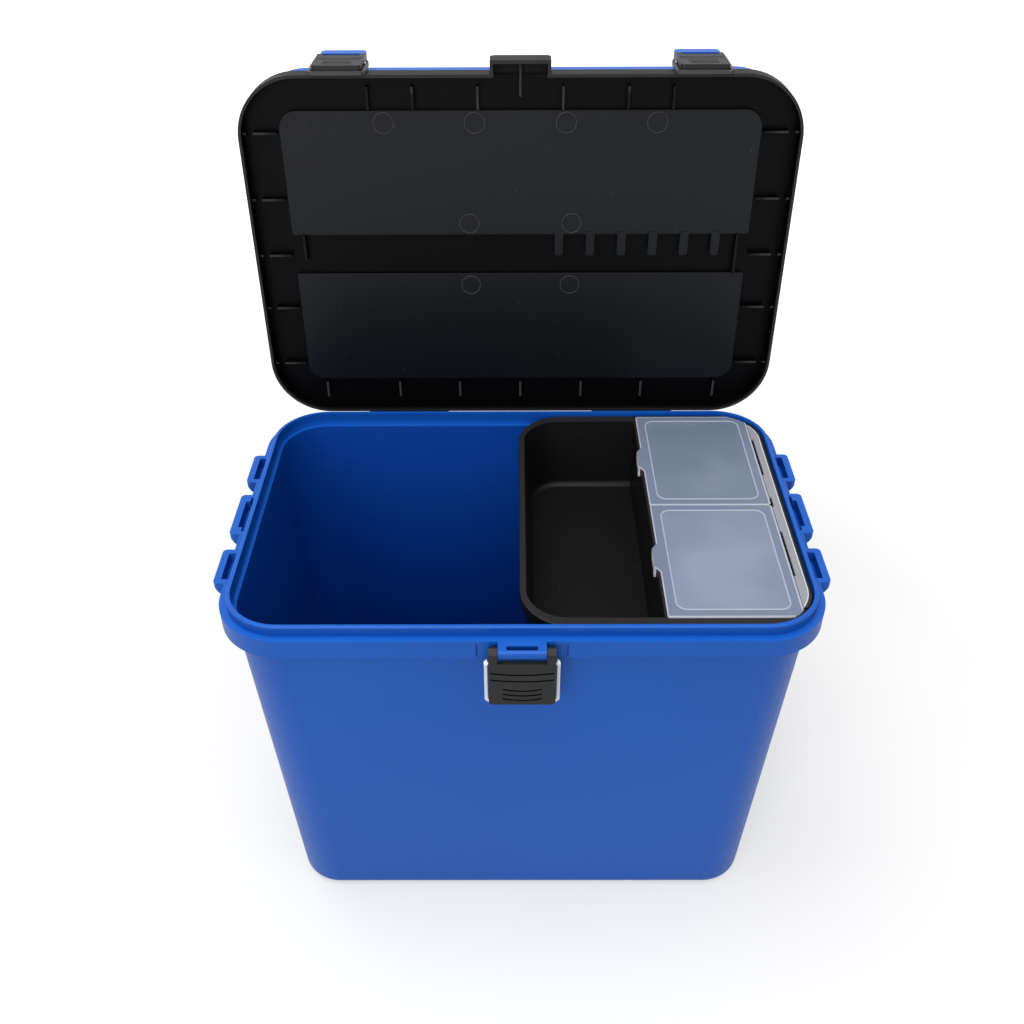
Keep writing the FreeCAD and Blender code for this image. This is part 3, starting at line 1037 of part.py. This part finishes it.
JOINT_REAR, JOINT_FRONT = "split_y + lid_joint_gap / 2", "split_y - lid_joint_gap / 2"
REAR_END, FRONT_END = "(%s - rear_lid_inset)" % TRAY_END, "(front_lid_inset - %s)" % TRAY_END
node("rear_tray_lid", tray_lid("rear_lid", JOINT_REAR, REAR_END, ["1.5", "1.5", "rear_lid_corner", "1.5"],
                               JOINT_REAR + " + 1.5", TRAY_END + " - bead_inset", "(split_y + rear_tab_y)"))
node("front_tray_lid", tray_lid("front_lid", FRONT_END, JOINT_FRONT,
                                ["1.5", "front_lid_corner", "1.5", "1.5"],
                                "bead_inset - " + TRAY_END, JOINT_FRONT + " - 1.5",
                                "(split_y - front_tab_y)"))

doc.recompute()

for thing in doc.Objects:
    state = [str(each) for each in thing.State]
    if "Invalid" in state or "Error" in state:
        raise RuntimeError("not recomputed: %s %s" % (thing.Name, state))
    shape = getattr(thing, "Shape", None)
    if shape is not None and thing.TypeId != "Sketcher::SketchObject":
        if shape.isNull() or not shape.isValid():
            raise RuntimeError("bad shape: %s" % thing.Name)

os.makedirs("parts", exist_ok=True)
for name, thing in NODES.items():
    thing.Label = name
    thing.Shape.exportStep("parts/%s.step" % name)
    box = thing.Shape.BoundBox
    print(name, len(thing.Shape.Solids), "solids", round(thing.Shape.Volume / 1000.0, 1), "cm3",
          [round(each, 1) for each in (box.XMin, box.XMax, box.YMin, box.YMax, box.ZMin, box.ZMax)])
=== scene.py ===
import json
import math

import bmesh
import bpy
from mathutils import Matrix, Vector


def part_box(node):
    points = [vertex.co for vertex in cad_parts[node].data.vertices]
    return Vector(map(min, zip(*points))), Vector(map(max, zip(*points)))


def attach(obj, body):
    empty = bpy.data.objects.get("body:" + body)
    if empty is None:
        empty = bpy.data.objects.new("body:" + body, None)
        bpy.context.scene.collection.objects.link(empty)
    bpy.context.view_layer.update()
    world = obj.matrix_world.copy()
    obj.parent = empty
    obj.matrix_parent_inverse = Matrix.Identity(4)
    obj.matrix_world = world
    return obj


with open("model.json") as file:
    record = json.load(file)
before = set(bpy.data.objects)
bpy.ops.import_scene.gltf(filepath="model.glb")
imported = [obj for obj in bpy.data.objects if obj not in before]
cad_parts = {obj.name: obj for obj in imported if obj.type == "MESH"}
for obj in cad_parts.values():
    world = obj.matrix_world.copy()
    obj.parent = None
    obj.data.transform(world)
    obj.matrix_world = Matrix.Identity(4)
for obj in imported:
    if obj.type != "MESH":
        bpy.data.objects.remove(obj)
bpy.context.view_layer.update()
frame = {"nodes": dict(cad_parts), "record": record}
nodes = frame["nodes"]
joints = {each["name"]: each for each in frame["record"]["behaviour"]["joints"]}
MM = 0.001


# Places on the part. Those on the upper section are set out as if it were shut, then turned back
# about its hinge.

HINGE = Vector(joints["upper_section_hinge"]["pos_m"])
OPEN = math.radians(-joints["upper_section_hinge"]["range_deg"][0])
TURN_BACK = Matrix.Translation(HINGE) @ Matrix.Rotation(-OPEN, 4, "X") @ Matrix.Translation(-HINGE)
FACE_ON = (0.0, -math.sin(OPEN), -math.cos(OPEN))
UP = (0.0, 0.0, 1.0)

RIM_LEVEL = 281.3 * MM
DECK_TOP = 295.3 * MM
PANEL_FACE = 289.3 * MM
RIB_LEVEL = 6.2 * MM
CATCH_RIB_LEVEL = 8.0 * MM
RIM_HALF = (190.0 * MM, 126.0 * MM)
RIM_CORNER = 42.0 * MM

LEDGE = 281.0 * MM
INSIDE_TOP = 277.0 * MM
FLOOR_BELOW = 100 * MM
# Boxes of the tub where shade is painted: the lip's sides, the latch's slot and the notch's corners.
LIP_SIDE = ((-1, -1, LEDGE + 0.2 * MM), (1, 1, LEDGE + 6 * MM))
LATCH_SLOT = ((-9.7 * MM, -133.4 * MM, 270 * MM), (9.7 * MM, -129.6 * MM, LEDGE - 0.1 * MM))
NOTCH_CORNER = ((27.1 * MM, -125.2 * MM, 267 * MM), (28.2 * MM, -124.2 * MM, 278.4 * MM))

lever_low, lever_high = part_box("front_latch_lever")
# The box of the front lever's grooves, where shade is painted.
GROOVE_SHADE_BOX = ((lever_low[0] + 1.0 * MM, lever_low[1] + 0.03 * MM, lever_low[2] + 3.6 * MM),
           (lever_high[0] - 1.0 * MM, lever_low[1] + 1.1 * MM, lever_low[2] + 28.6 * MM))

TRAY_RIM_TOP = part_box("tray")[1][2] - 1.0 * MM
TRAY_CORNER = 33.8 * MM
STRIP_EDGE = 3.0 * MM
STRIP_HIGHLIGHT_WIDTH = 0.7 * MM

RIDGE_INSET, RIDGE_CORNER = 5.8 * MM, 7.0 * MM
RIDGE_WIDTH, RIDGE_HEIGHT = 0.9 * MM, 0.3 * MM
SHEET_CORNER, BRINK_WIDTH = 1.5 * MM, 0.6 * MM
TAB_REACH, TAB_HALF, BEAD = 3.2 * MM, 14 * MM, 0.7 * MM
REAR_TAB_Y, FRONT_TAB_Y = 55.3 * MM, 56.0 * MM


# Node arithmetic

class Sums:
    """Arithmetic in the nodes of a material or of the world."""

    def __init__(self, tree):
        self.nodes, self.links = tree.nodes, tree.links

    def calculate(self, operation, first, second=0.0):
        """One arithmetic step between two sockets or numbers."""
        step = self.nodes.new("ShaderNodeMath")
        step.operation = operation
        for socket, value in zip(step.inputs, (first, second)):
            if isinstance(value, (int, float)):
                socket.default_value = value
            else:
                self.links.new(value, socket)
        return step.outputs["Value"]

    def combine(self, operation, *values):
        """Runs one operation through several sockets or numbers, from the first to the last."""
        result = values[0]
        for each in values[1:]:
            result = self.calculate(operation, result, each)
        return result

    def all_of(self, *masks):
        """The product of masks."""
        return self.combine("MULTIPLY", *masks)

    def any_of(self, *masks):
        """The largest of masks."""
        return self.combine("MAXIMUM", *masks)

    def above(self, value, bound):
        """1 where a value is greater than a bound."""
        return self.calculate("GREATER_THAN", value, bound)

    def below(self, value, bound):
        """1 where a value is less than a bound."""
        return self.calculate("LESS_THAN", value, bound)

    def size(self, value):
        """A value without its sign."""
        return self.calculate("ABSOLUTE", value)

    def ramp(self, value, low, high):
        """Runs from 0 at low to 1 at high."""
        step = self.nodes.new("ShaderNodeMapRange")
        step.inputs["From Min"].default_value = low
        step.inputs["From Max"].default_value = high
        self.links.new(value, step.inputs["Value"])
        return step.outputs["Result"]

    def sees_background(self):
        """1 for rays that come from the camera, a reflection or a clear sheet."""
        path = self.nodes.new("ShaderNodeLightPath")
        return self.any_of(*(path.outputs[each] for each in ("Is Camera Ray", "Is Glossy Ray",
                                                             "Is Transmission Ray")))


class Surface(Sums):
    """A principled material whose colour is built up from tones over masks."""

    def __init__(self, name, colour, roughness, specular):
        self.material = bpy.data.materials.new(name)
        self.material.use_nodes = True
        super().__init__(self.material.node_tree)
        self.shader = self.nodes["Principled BSDF"]
        self.shader.inputs["Base Color"].default_value = (*colour, 1.0)
        self.shader.inputs["Roughness"].default_value = roughness
        self.shader.inputs["Specular IOR Level"].default_value = specular
        self.coords = self.nodes.new("ShaderNodeTexCoord").outputs["Object"]
        self.geometry = self.nodes.new("ShaderNodeNewGeometry").outputs["Normal"]

    def parts_of(self, vector):
        """The three parts of a vector."""
        split = self.nodes.new("ShaderNodeSeparateXYZ")
        self.links.new(vector, split.inputs["Vector"])
        return split.outputs["X"], split.outputs["Y"], split.outputs["Z"]

    def place(self):
        """The three coordinates of a point of the surface."""
        return self.parts_of(self.coords)

    def normal(self):
        """The three parts of the surface's direction."""
        return self.parts_of(self.geometry)

    def facing(self, direction):
        """How far the surface faces a direction, from -1 to 1."""
        product = self.nodes.new("ShaderNodeVectorMath")
        product.operation = "DOT_PRODUCT"
        self.links.new(self.geometry, product.inputs[0])
        product.inputs[1].default_value = direction
        return product.outputs["Value"]

    def noise(self, scale, detail):
        """A soft noise over the surface."""
        noise = self.nodes.new("ShaderNodeTexNoise")
        noise.inputs["Scale"].default_value = scale
        noise.inputs["Detail"].default_value = detail
        self.links.new(self.coords, noise.inputs["Vector"])
        return noise.outputs["Fac"]

    def within(self, place, low, high):
        """1 inside a box."""
        bounds = []
        for value, bottom, top in zip(place, low, high):
            bounds += [self.above(value, bottom), self.below(value, top)]
        return self.all_of(*bounds)

    def outline_distance(self, place, centre, half, radius):
        """Distance to a rounded rectangle's outline, negative inside it."""
        beyond = []
        for axis in range(2):
            offset = self.calculate("SUBTRACT", place[axis], centre[axis])
            beyond.append(self.calculate("SUBTRACT", self.size(offset), half[axis] - radius))
        squares = []
        for each in beyond:
            outer = self.calculate("MAXIMUM", each, 0.0)
            squares.append(self.calculate("MULTIPLY", outer, outer))
        corner = self.calculate("SQRT", self.calculate("ADD", *squares))
        inner = self.calculate("MINIMUM", self.any_of(*beyond), 0.0)
        reach = self.calculate("ADD", corner, inner)
        return self.calculate("SUBTRACT", reach, radius)

    def tone(self, mask, tone):
        """Lays a tone over the colour so far, where the mask is 1."""
        colour = self.shader.inputs["Base Color"]
        mix = self.nodes.new("ShaderNodeMix")
        mix.data_type = "RGBA"
        self.links.new(mask, mix.inputs["Factor"])
        if colour.links:
            self.links.new(colour.links[0].from_socket, mix.inputs["A"])
        else:
            mix.inputs["A"].default_value = colour.default_value
        mix.inputs["B"].default_value = (*tone, 1.0)
        self.links.new(mix.outputs["Result"], colour)

    def grain(self, scale, distance):
        """A fine moulded grain in the surface."""
        bump = self.nodes.new("ShaderNodeBump")
        bump.inputs["Distance"].default_value = distance
        bump.inputs["Strength"].default_value = 0.3
        self.links.new(self.noise(scale, 3.0), bump.inputs["Height"])
        self.links.new(bump.outputs["Normal"], self.shader.inputs["Normal"])

    def mottle(self, first, second, scale):
        """Blends two close colours over the surface with a soft noise."""
        blend = self.nodes.new("ShaderNodeValToRGB")
        for stop, where, colour in zip(blend.color_ramp.elements, (0.35, 0.65), (first, second)):
            stop.position = where
            stop.color = (*colour, 1.0)
        self.links.new(self.noise(scale, 2.0), blend.inputs["Fac"])
        self.links.new(blend.outputs["Color"], self.shader.inputs["Base Color"])

    def specks(self, tone):
        """A few pale specks of wear."""
        cells = self.nodes.new("ShaderNodeTexVoronoi")
        cells.inputs["Scale"].default_value = 110
        self.links.new(self.coords, cells.inputs["Vector"])
        self.tone(self.ramp(cells.outputs["Distance"], 0.055, 0.03), tone)


# Materials

def blue(name):
    """The blue plastic of the tub and the seat lid."""
    surface = Surface(name, (0.003, 0.084, 0.415), roughness=0.42, specular=0.25)
    surface.grain(900, 0.05 * MM)
    surface.mottle((0.0026, 0.081, 0.405), (0.0034, 0.087, 0.425), 6)
    return surface


def tub_blue():
    """The tub's blue, with painted shade: darker on the faces that look inward and on the floor, where
    less light is scattered back, in the lugs' and the latch's slots, in the notch's corners and on the
    lip's sides."""
    surface = blue("blue polypropylene, tub")
    x, y, z = surface.place()
    normal_x, normal_y, normal_z = surface.normal()
    outward = surface.calculate("ADD", surface.calculate("MULTIPLY", normal_x, x),
                                surface.calculate("MULTIPLY", normal_y, y))
    wall = surface.ramp(outward, -6 * MM, -24 * MM)
    floor = surface.all_of(surface.above(normal_z, 0.5), surface.below(z, FLOOR_BELOW))
    across = surface.size(x)
    inside = surface.below(z, INSIDE_TOP)
    in_lug = surface.above(across, RIM_HALF[0] - 0.5 * MM)
    painted_shade = surface.all_of(surface.any_of(wall, floor), surface.any_of(inside, in_lug))
    in_slot = surface.within((x, y, z), *LATCH_SLOT)
    upright = surface.below(normal_z, 0.6)
    lip_side = surface.all_of(upright, surface.within((x, y, z), *LIP_SIDE), 0.55)
    in_corner = surface.within((across, y, z), *NOTCH_CORNER)
    # Painted shade: the inward walls, the floor, the slots, the notch's corners and the lip's sides are
    # darkened.
    surface.tone(surface.any_of(painted_shade, in_slot, lip_side, in_corner), (0.0010, 0.046, 0.300))
    return surface


def tray_black():
    """The tray's black, with specks of wear and a painted highlight on its rim's top."""
    surface = Surface("black polypropylene", (0.0040, 0.0040, 0.0047), roughness=0.45, specular=0.17)
    surface.grain(1200, 0.05 * MM)
    surface.specks((0.07, 0.07, 0.072))
    on_rim = surface.above(surface.place()[2], TRAY_RIM_TOP)
    level = surface.above(surface.facing(UP), 0.8)
    # Painted highlight: the rim's upward faces are lightened.
    surface.tone(surface.all_of(on_rim, level), (0.0140, 0.0130, 0.0142))
    return surface


def shut_place(surface):
    """Where a point of the upper section lies once that is shut."""
    x, y, z = surface.place()
    back = surface.calculate("SUBTRACT", y, HINGE.y)
    rise = surface.calculate("SUBTRACT", z, HINGE.z)
    cosine, sine = math.cos(OPEN), math.sin(OPEN)
    depth = surface.calculate("SUBTRACT", surface.calculate("MULTIPLY", back, cosine),
                              surface.calculate("MULTIPLY", rise, sine))
    height = surface.calculate("ADD", surface.calculate("MULTIPLY", back, sine),
                               surface.calculate("MULTIPLY", rise, cosine))
    return x, surface.calculate("ADD", depth, HINGE.y), surface.calculate("ADD", height, HINGE.z)


def rib_highlight_share(surface, across, along):
    """Where the ribs' edges get a painted highlight: the side ribs outboard, the rear ribs over their
    whole length, the front ribs nearest the middle too, the next ones only at their outer ends, and a
    faint one on the rest."""
    side = surface.ramp(across, 166 * MM, 176 * MM)
    rear = surface.above(along, 100 * MM)
    outer_end = surface.all_of(surface.ramp(along, -110 * MM, -114 * MM), surface.below(across, 85 * MM))
    near = surface.any_of(outer_end, surface.below(across, 50 * MM))
    front = surface.all_of(near, surface.below(along, -100 * MM))
    return surface.any_of(side, 0.2, rear, front)


def section_black():
    """The upper section's black, with painted shade inside the rim, under the deck, and painted
    highlights on the rim's edge and on the ribs' edges."""
    surface = Surface("black polypropylene, upper section", (0.006, 0.0062, 0.0068), roughness=0.45,
                      specular=0.07)
    surface.grain(1200, 0.05 * MM)
    place = shut_place(surface)
    x, y, z = place
    inside = surface.below(surface.outline_distance(place, (0.0, 0.0), RIM_HALF, RIM_CORNER), -1.2 * MM)
    under_deck = surface.below(z, DECK_TOP - 1 * MM)
    painted_shade = surface.ramp(z, RIM_LEVEL + 0.3 * MM, RIM_LEVEL + 4 * MM)
    # Painted shade: inside the rim and under the deck the black is darkened, fading in above the rim's
    # level.
    surface.tone(surface.all_of(inside, under_deck, painted_shade), (0.0006, 0.0006, 0.0008))
    across = surface.size(x)
    face_on = surface.above(surface.facing(FACE_ON), 0.6)
    # Painted highlights: the rim's edge and the ribs' edges, on their faces that look down when the
    # section is shut.
    rim_highlight_tone, rib_highlight_tone = (0.026, 0.026, 0.028), (0.034, 0.034, 0.037)
    for level, tone, share in ((0.0, rim_highlight_tone, 1.0), (RIB_LEVEL, rib_highlight_tone, rib_highlight_share(surface, across, y)),
                               (CATCH_RIB_LEVEL, rib_highlight_tone, surface.below(across, 2 * MM))):
        low = surface.above(z, RIM_LEVEL + level - 0.1 * MM)
        high = surface.below(z, RIM_LEVEL + level + 0.3 * MM)
        surface.tone(surface.all_of(low, high, face_on, share), tone)
    return surface


def smoked():
    """The panels' smoked sheet, with specks of wear and a painted highlight on its edges."""
    surface = Surface("smoked sheet", (0.0035, 0.0042, 0.006), roughness=0.34, specular=0.17)
    surface.grain(500, 0.03 * MM)
    surface.specks((0.05, 0.05, 0.052))
    edge_highlight = surface.below(surface.size(surface.facing(FACE_ON)), 0.95)
    # Painted highlight on the sheet's edge faces.
    surface.tone(edge_highlight, (0.022, 0.022, 0.024))
    return surface


def charcoal(name):
    """The levers' charcoal plastic."""
    surface = Surface(name, (0.0088, 0.0086, 0.0096), roughness=0.46, specular=0.25)
    surface.grain(1200, 0.05 * MM)
    return surface


def grooved_charcoal():
    """The front lever's charcoal plastic, with painted shade in its grooves."""
    surface = charcoal("charcoal plastic, front lever")
    # Painted shade: the grooves are darkened.
    surface.tone(surface.within(surface.place(), *GROOVE_SHADE_BOX), (0.0010, 0.0010, 0.0012))
    return surface


def steel():
    """The pins' steel wire."""
    surface = Surface("steel wire", (0.55, 0.55, 0.56), roughness=0.3, specular=0.5)
    surface.shader.inputs["Metallic"].default_value = 1.0
    return surface


def lid_sheet(lid, field, cloud, tab_y):
    """A tray lid's frosted sheet: a cloudy field inside the ridge, an even margin outside it, and
    painted highlights on the ridge's top, the brink and the edges. The brink's line passes round the
    snap tab, at tab_y."""
    surface = Surface(lid.replace("_", " ") + " sheet", field, roughness=0.42, specular=0.35)
    low, high = (Vector(each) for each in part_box(lid))
    low.x += TAB_REACH
    high.x -= BEAD
    centre, half = (low + high) / 2, (high - low) / 2
    place = surface.place()
    surface.tone(surface.ramp(surface.noise(16, 1.5), 0.38, 0.64), cloud)
    ridge_half = half - Vector((RIDGE_INSET, RIDGE_INSET, 0))
    from_ridge = surface.outline_distance(place, centre, ridge_half, RIDGE_CORNER)
    surface.tone(surface.above(from_ridge, -RIDGE_WIDTH / 2), (0.135, 0.165, 0.240))
    # Painted highlight on the ridge's top.
    surface.tone(surface.above(place[2], high.z - RIDGE_HEIGHT * 0.7), (0.30, 0.335, 0.42))
    brink = surface.calculate("ADD", surface.outline_distance(place, centre, half, SHEET_CORNER),
                              BRINK_WIDTH / 2)
    on_brink = surface.below(surface.size(brink), BRINK_WIDTH / 2)
    at_tab = surface.within(place, (-1, tab_y - TAB_HALF, -1), (low.x + 1 * MM, tab_y + TAB_HALF, 1))
    clear_of_tab = surface.any_of(surface.calculate("SUBTRACT", on_brink, at_tab), 0.0)
    # Painted highlight along the brink.
    surface.tone(clear_of_tab, (0.40, 0.43, 0.51))
    # Painted highlight on the sheet's edge faces.
    edge_highlight = surface.below(surface.size(surface.facing(UP)), 0.93)
    surface.tone(edge_highlight, (0.66, 0.68, 0.74))
    return surface


def strip_sheet():
    """The hinge strip's frosted sheet, with a painted highlight line and the tray's black rim showing
    round its outer side.
    """
    surface = Surface("hinge strip sheet", (0.235, 0.237, 0.262), roughness=0.42, specular=0.35)
    surface.grain(700, 0.04 * MM)
    low, high = (Vector(each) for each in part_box("tray"))
    distance = surface.outline_distance(surface.place(), (low + high) / 2, (high - low) / 2, TRAY_CORNER)
    # Painted highlight: a pale line just inside the black margin.
    surface.tone(surface.above(distance, -STRIP_EDGE - STRIP_HIGHLIGHT_WIDTH), (0.50, 0.51, 0.55))
    surface.tone(surface.above(distance, -STRIP_EDGE), (0.0045, 0.0045, 0.0052))
    return surface


BLUE = blue("blue polypropylene")
TUB_BLUE = tub_blue()
TRAY_BLACK = tray_black()
SECTION_BLACK = section_black()
SMOKED = smoked()
SMOKED_MARK = Surface("smoked sheet, marks", (0.040, 0.041, 0.044), roughness=0.30, specular=0.35)
CHARCOAL = charcoal("charcoal plastic")
GROOVED_CHARCOAL = grooved_charcoal()
WHITE = Surface("white plastic", (0.72, 0.73, 0.77), roughness=0.4, specular=0.4)
# The side bails' white plastic, darkened to grey as painted shade, since they sit in shade.
SHADED_WHITE = Surface("white plastic, painted shade", (0.045, 0.045, 0.048), roughness=0.45, specular=0.25)
STEEL = steel()
REAR_LID = lid_sheet("rear_tray_lid", (0.125, 0.160, 0.226), (0.185, 0.218, 0.288),
                     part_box("rear_tray_lid")[0][1] + REAR_TAB_Y)
FRONT_LID = lid_sheet("front_tray_lid", (0.155, 0.188, 0.270), (0.205, 0.238, 0.325),
                      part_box("front_tray_lid")[1][1] - FRONT_TAB_Y)
STRIP = strip_sheet()

FINISH = {
    "tub": (TUB_BLUE, "blue_plastic"),
    "seat_lid": (BLUE, "blue_plastic"),
    "upper_section": (SECTION_BLACK, "black_plastic"),
    "tray": (TRAY_BLACK, "black_plastic"),
    "pocket_panel_front": (SMOKED, "smoked_plastic"),
    "pocket_panel_rear": (SMOKED, "smoked_plastic"),
    "rear_tray_lid": (REAR_LID, "frosted_plastic"),
    "front_tray_lid": (FRONT_LID, "frosted_plastic"),
    "tray_hinge_strip": (STRIP, "frosted_plastic"),
    "front_latch_lever": (GROOVED_CHARCOAL, "charcoal_plastic"),
    "left_latch_lever": (CHARCOAL, "charcoal_plastic"),
    "right_latch_lever": (CHARCOAL, "charcoal_plastic"),
    "front_latch_bail": (WHITE, "white_plastic"),
    "left_latch_bail": (SHADED_WHITE, "grey_plastic"),
    "right_latch_bail": (SHADED_WHITE, "grey_plastic"),
    "main_hinge_pins": (STEEL, "steel_pin"),
    "seat_hinge_pins": (STEEL, "steel_pin"),
    "front_bail_pin": (STEEL, "steel_pin"),
    "left_bail_pin": (STEEL, "steel_pin"),
    "right_bail_pin": (STEEL, "steel_pin"),
}
for name, piece in nodes.items():
    surface, slot = FINISH[name]
    piece.data.materials.clear()
    piece.data.materials.append(surface.material)


# Soft edges: small moulding radii on the sharp edges of every CAD piece.

EDGE_RADIUS = {"tub": 0.6 * MM, "seat_lid": 0.6 * MM, "upper_section": 0.35 * MM, "tray": 0.35 * MM}
SMALL_RADIUS = 0.2 * MM
SHARP = math.radians(40)
for name, piece in nodes.items():
    bevel = piece.modifiers.new("moulding radii", "BEVEL")
    bevel.width = EDGE_RADIUS.get(name, SMALL_RADIUS)
    bevel.segments = 2
    bevel.limit_method = "ANGLE"
    bevel.angle_limit = SHARP
    for face in piece.data.polygons:
        face.use_smooth = True
    normals = piece.modifiers.new("edge normals", "WEIGHTED_NORMAL")
    normals.keep_sharp = True


# The marks of the deck's posts on the smoked panels

RING_RADIUS, RING_WIDTH, RING_HEIGHT = 7.1 * MM, 0.5 * MM, 0.12 * MM
RING_STEPS = 40
POST_PLACES = {
    "front": [(92.5 * MM, -93 * MM), (31 * MM, -93 * MM), (36.2 * MM, -23 * MM)],
    "rear": [(36.2 * MM, 23.6 * MM)],
}


def ring_mesh(name):
    """A low ring about Z, with sloping sides and a flat top."""
    section = ((RING_RADIUS, 0), (RING_RADIUS - RING_WIDTH * 0.3, RING_HEIGHT),
               (RING_RADIUS - RING_WIDTH * 0.7, RING_HEIGHT), (RING_RADIUS - RING_WIDTH, 0))
    work = bmesh.new()
    rows = []
    for k in range(RING_STEPS):
        angle = 2 * math.pi * k / RING_STEPS
        rows.append([work.verts.new((r * math.cos(angle), r * math.sin(angle), z)) for r, z in section])
    for k, row in enumerate(rows):
        following = rows[(k + 1) % RING_STEPS]
        for j in range(3):
            work.faces.new((row[j], following[j], following[j + 1], row[j + 1]))
        work.faces.new((row[3], following[3], following[0], row[0]))
    for face in work.faces:
        face.smooth = True
    mesh = bpy.data.meshes.new(name)
    work.to_mesh(mesh)
    work.free()
    mesh.materials.append(SMOKED_MARK.material)
    return mesh


def post_ring(name, x, y):
    """The ring that a post leaves on its panel's face, carried by the upper section."""
    ring = bpy.data.objects.new(name, ring_mesh(name))
    face_down = Matrix.Rotation(math.pi, 4, "X")
    ring.matrix_world = TURN_BACK @ Matrix.Translation((x, y, PANEL_FACE)) @ face_down
    bpy.context.scene.collection.objects.link(ring)
    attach(ring, "upper_section")


for panel, places in POST_PLACES.items():
    for k, (x, y) in enumerate(places):
        post_ring("post_ring_%s_%d_left" % (panel, k), -x, y)
        post_ring("post_ring_%s_%d_right" % (panel, k), x, y)


# Floor and world: white to the camera, at a plain level for the object.

FLOOR_TONE = 0.40
FLOOR_GLOW, EXTRA_GLOW = 0.50, 0.6
GLOW_NEAR, GLOW_FAR = 0.45, 1.6
FLOOR_REACH, FLOOR_LEVEL = 30.0, -0.2 * MM
SKY = 0.50
WHITE_LIGHT = (1.0, 1.0, 1.0, 1.0)


def floor_material():
    """Keeps the object's shadow and looks white to the camera, more so away from the object."""
    floor_finish = bpy.data.materials.new("floor")
    floor_finish.use_nodes = True
    tree = floor_finish.node_tree
    tree.nodes.remove(tree.nodes["Principled BSDF"])
    output = tree.nodes["Material Output"]
    sums = Sums(tree)
    diffuse = tree.nodes.new("ShaderNodeBsdfDiffuse")
    diffuse.inputs["Color"].default_value = (FLOOR_TONE, FLOOR_TONE, FLOOR_TONE, 1.0)
    glow = tree.nodes.new("ShaderNodeEmission")
    glow.inputs["Color"].default_value = WHITE_LIGHT
    coords = tree.nodes.new("ShaderNodeTexCoord")
    distance = tree.nodes.new("ShaderNodeVectorMath")
    distance.operation = "LENGTH"
    tree.links.new(coords.outputs["Object"], distance.inputs[0])
    away = sums.ramp(distance.outputs["Value"], GLOW_NEAR, GLOW_FAR)
    strength = sums.calculate("ADD", sums.calculate("MULTIPLY", away, EXTRA_GLOW), FLOOR_GLOW)
    tree.links.new(sums.all_of(sums.sees_background(), strength), glow.inputs["Strength"])
    add = tree.nodes.new("ShaderNodeAddShader")
    tree.links.new(diffuse.outputs["BSDF"], add.inputs[0])
    tree.links.new(glow.outputs["Emission"], add.inputs[1])
    tree.links.new(add.outputs["Shader"], output.inputs["Surface"])
    return floor_finish


floor_mesh = bpy.data.meshes.new("floor")
floor_corners = [(x * FLOOR_REACH, y * FLOOR_REACH, FLOOR_LEVEL)
                 for x, y in ((-1, -1), (1, -1), (1, 1), (-1, 1))]
floor_mesh.from_pydata(floor_corners, [], [(0, 1, 2, 3)])
floor_mesh.materials.append(floor_material())
floor = bpy.data.objects.new("floor", floor_mesh)
bpy.context.scene.collection.objects.link(floor)

world = bpy.data.worlds.new("studio")
bpy.context.scene.world = world
world.use_nodes = True
background = world.node_tree.nodes["Background"]
background.inputs["Color"].default_value = WHITE_LIGHT
sums = Sums(world.node_tree)
lift = sums.calculate("MULTIPLY", sums.sees_background(), 1.0 - SKY)
world.node_tree.links.new(sums.calculate("ADD", lift, SKY), background.inputs["Strength"])


# Lamps: their place, the side of the square lamp and its power. All look at the object's middle.

LAMPS = {
    "key": ((-0.5, 0.1, 2.4), 1.4, 32),
    "top": ((0.4, -0.6, 2.4), 1.8, 16),
    "front": ((-0.7, -2.2, 1.4), 1.6, 34),
}
LAMP_TARGET = Vector((0.0, 0.0, 0.2))
for name, (place, side, power) in LAMPS.items():
    light = bpy.data.lights.new(name, "AREA")
    light.size = side
    light.energy = power
    lamp = bpy.data.objects.new(name, light)
    lamp.location = place
    lamp.rotation_euler = (LAMP_TARGET - Vector(place)).to_track_quat("-Z", "Y").to_euler()
    bpy.context.scene.collection.objects.link(lamp)


# Camera, fitted to the outlines in the photograph

FOCAL_PX, IMAGE_PX = 1080.0, 1024.0
PITCH, YAW, ROLL = 0.6563170, -0.0047153, -0.0049999
CAMERA_PLACE = Vector((-3.502, -590.731, 736.913)) * MM
SENSOR_WIDTH = 36.0

camera_data = bpy.data.cameras.new("camera")
camera_data.sensor_width = SENSOR_WIDTH
camera_data.sensor_fit = "HORIZONTAL"
camera_data.lens = SENSOR_WIDTH * FOCAL_PX / IMAGE_PX
camera_data.clip_start = 0.02
camera_data.clip_end = 200
forward = Vector((math.sin(YAW) * math.cos(PITCH), math.cos(YAW) * math.cos(PITCH), -math.sin(PITCH)))
level_right = Vector((math.cos(YAW), -math.sin(YAW), 0.0))
level_up = level_right.cross(forward)
right = math.cos(ROLL) * level_right + math.sin(ROLL) * level_up
up = math.cos(ROLL) * level_up - math.sin(ROLL) * level_right
turn = Matrix((right, up, -forward)).transposed()
camera = bpy.data.objects.new("camera", camera_data)
camera.matrix_world = Matrix.Translation(CAMERA_PLACE) @ turn.to_4x4()
bpy.context.scene.collection.objects.link(camera)
bpy.context.scene.camera = camera

bpy.context.scene.view_settings.view_transform = "Standard"
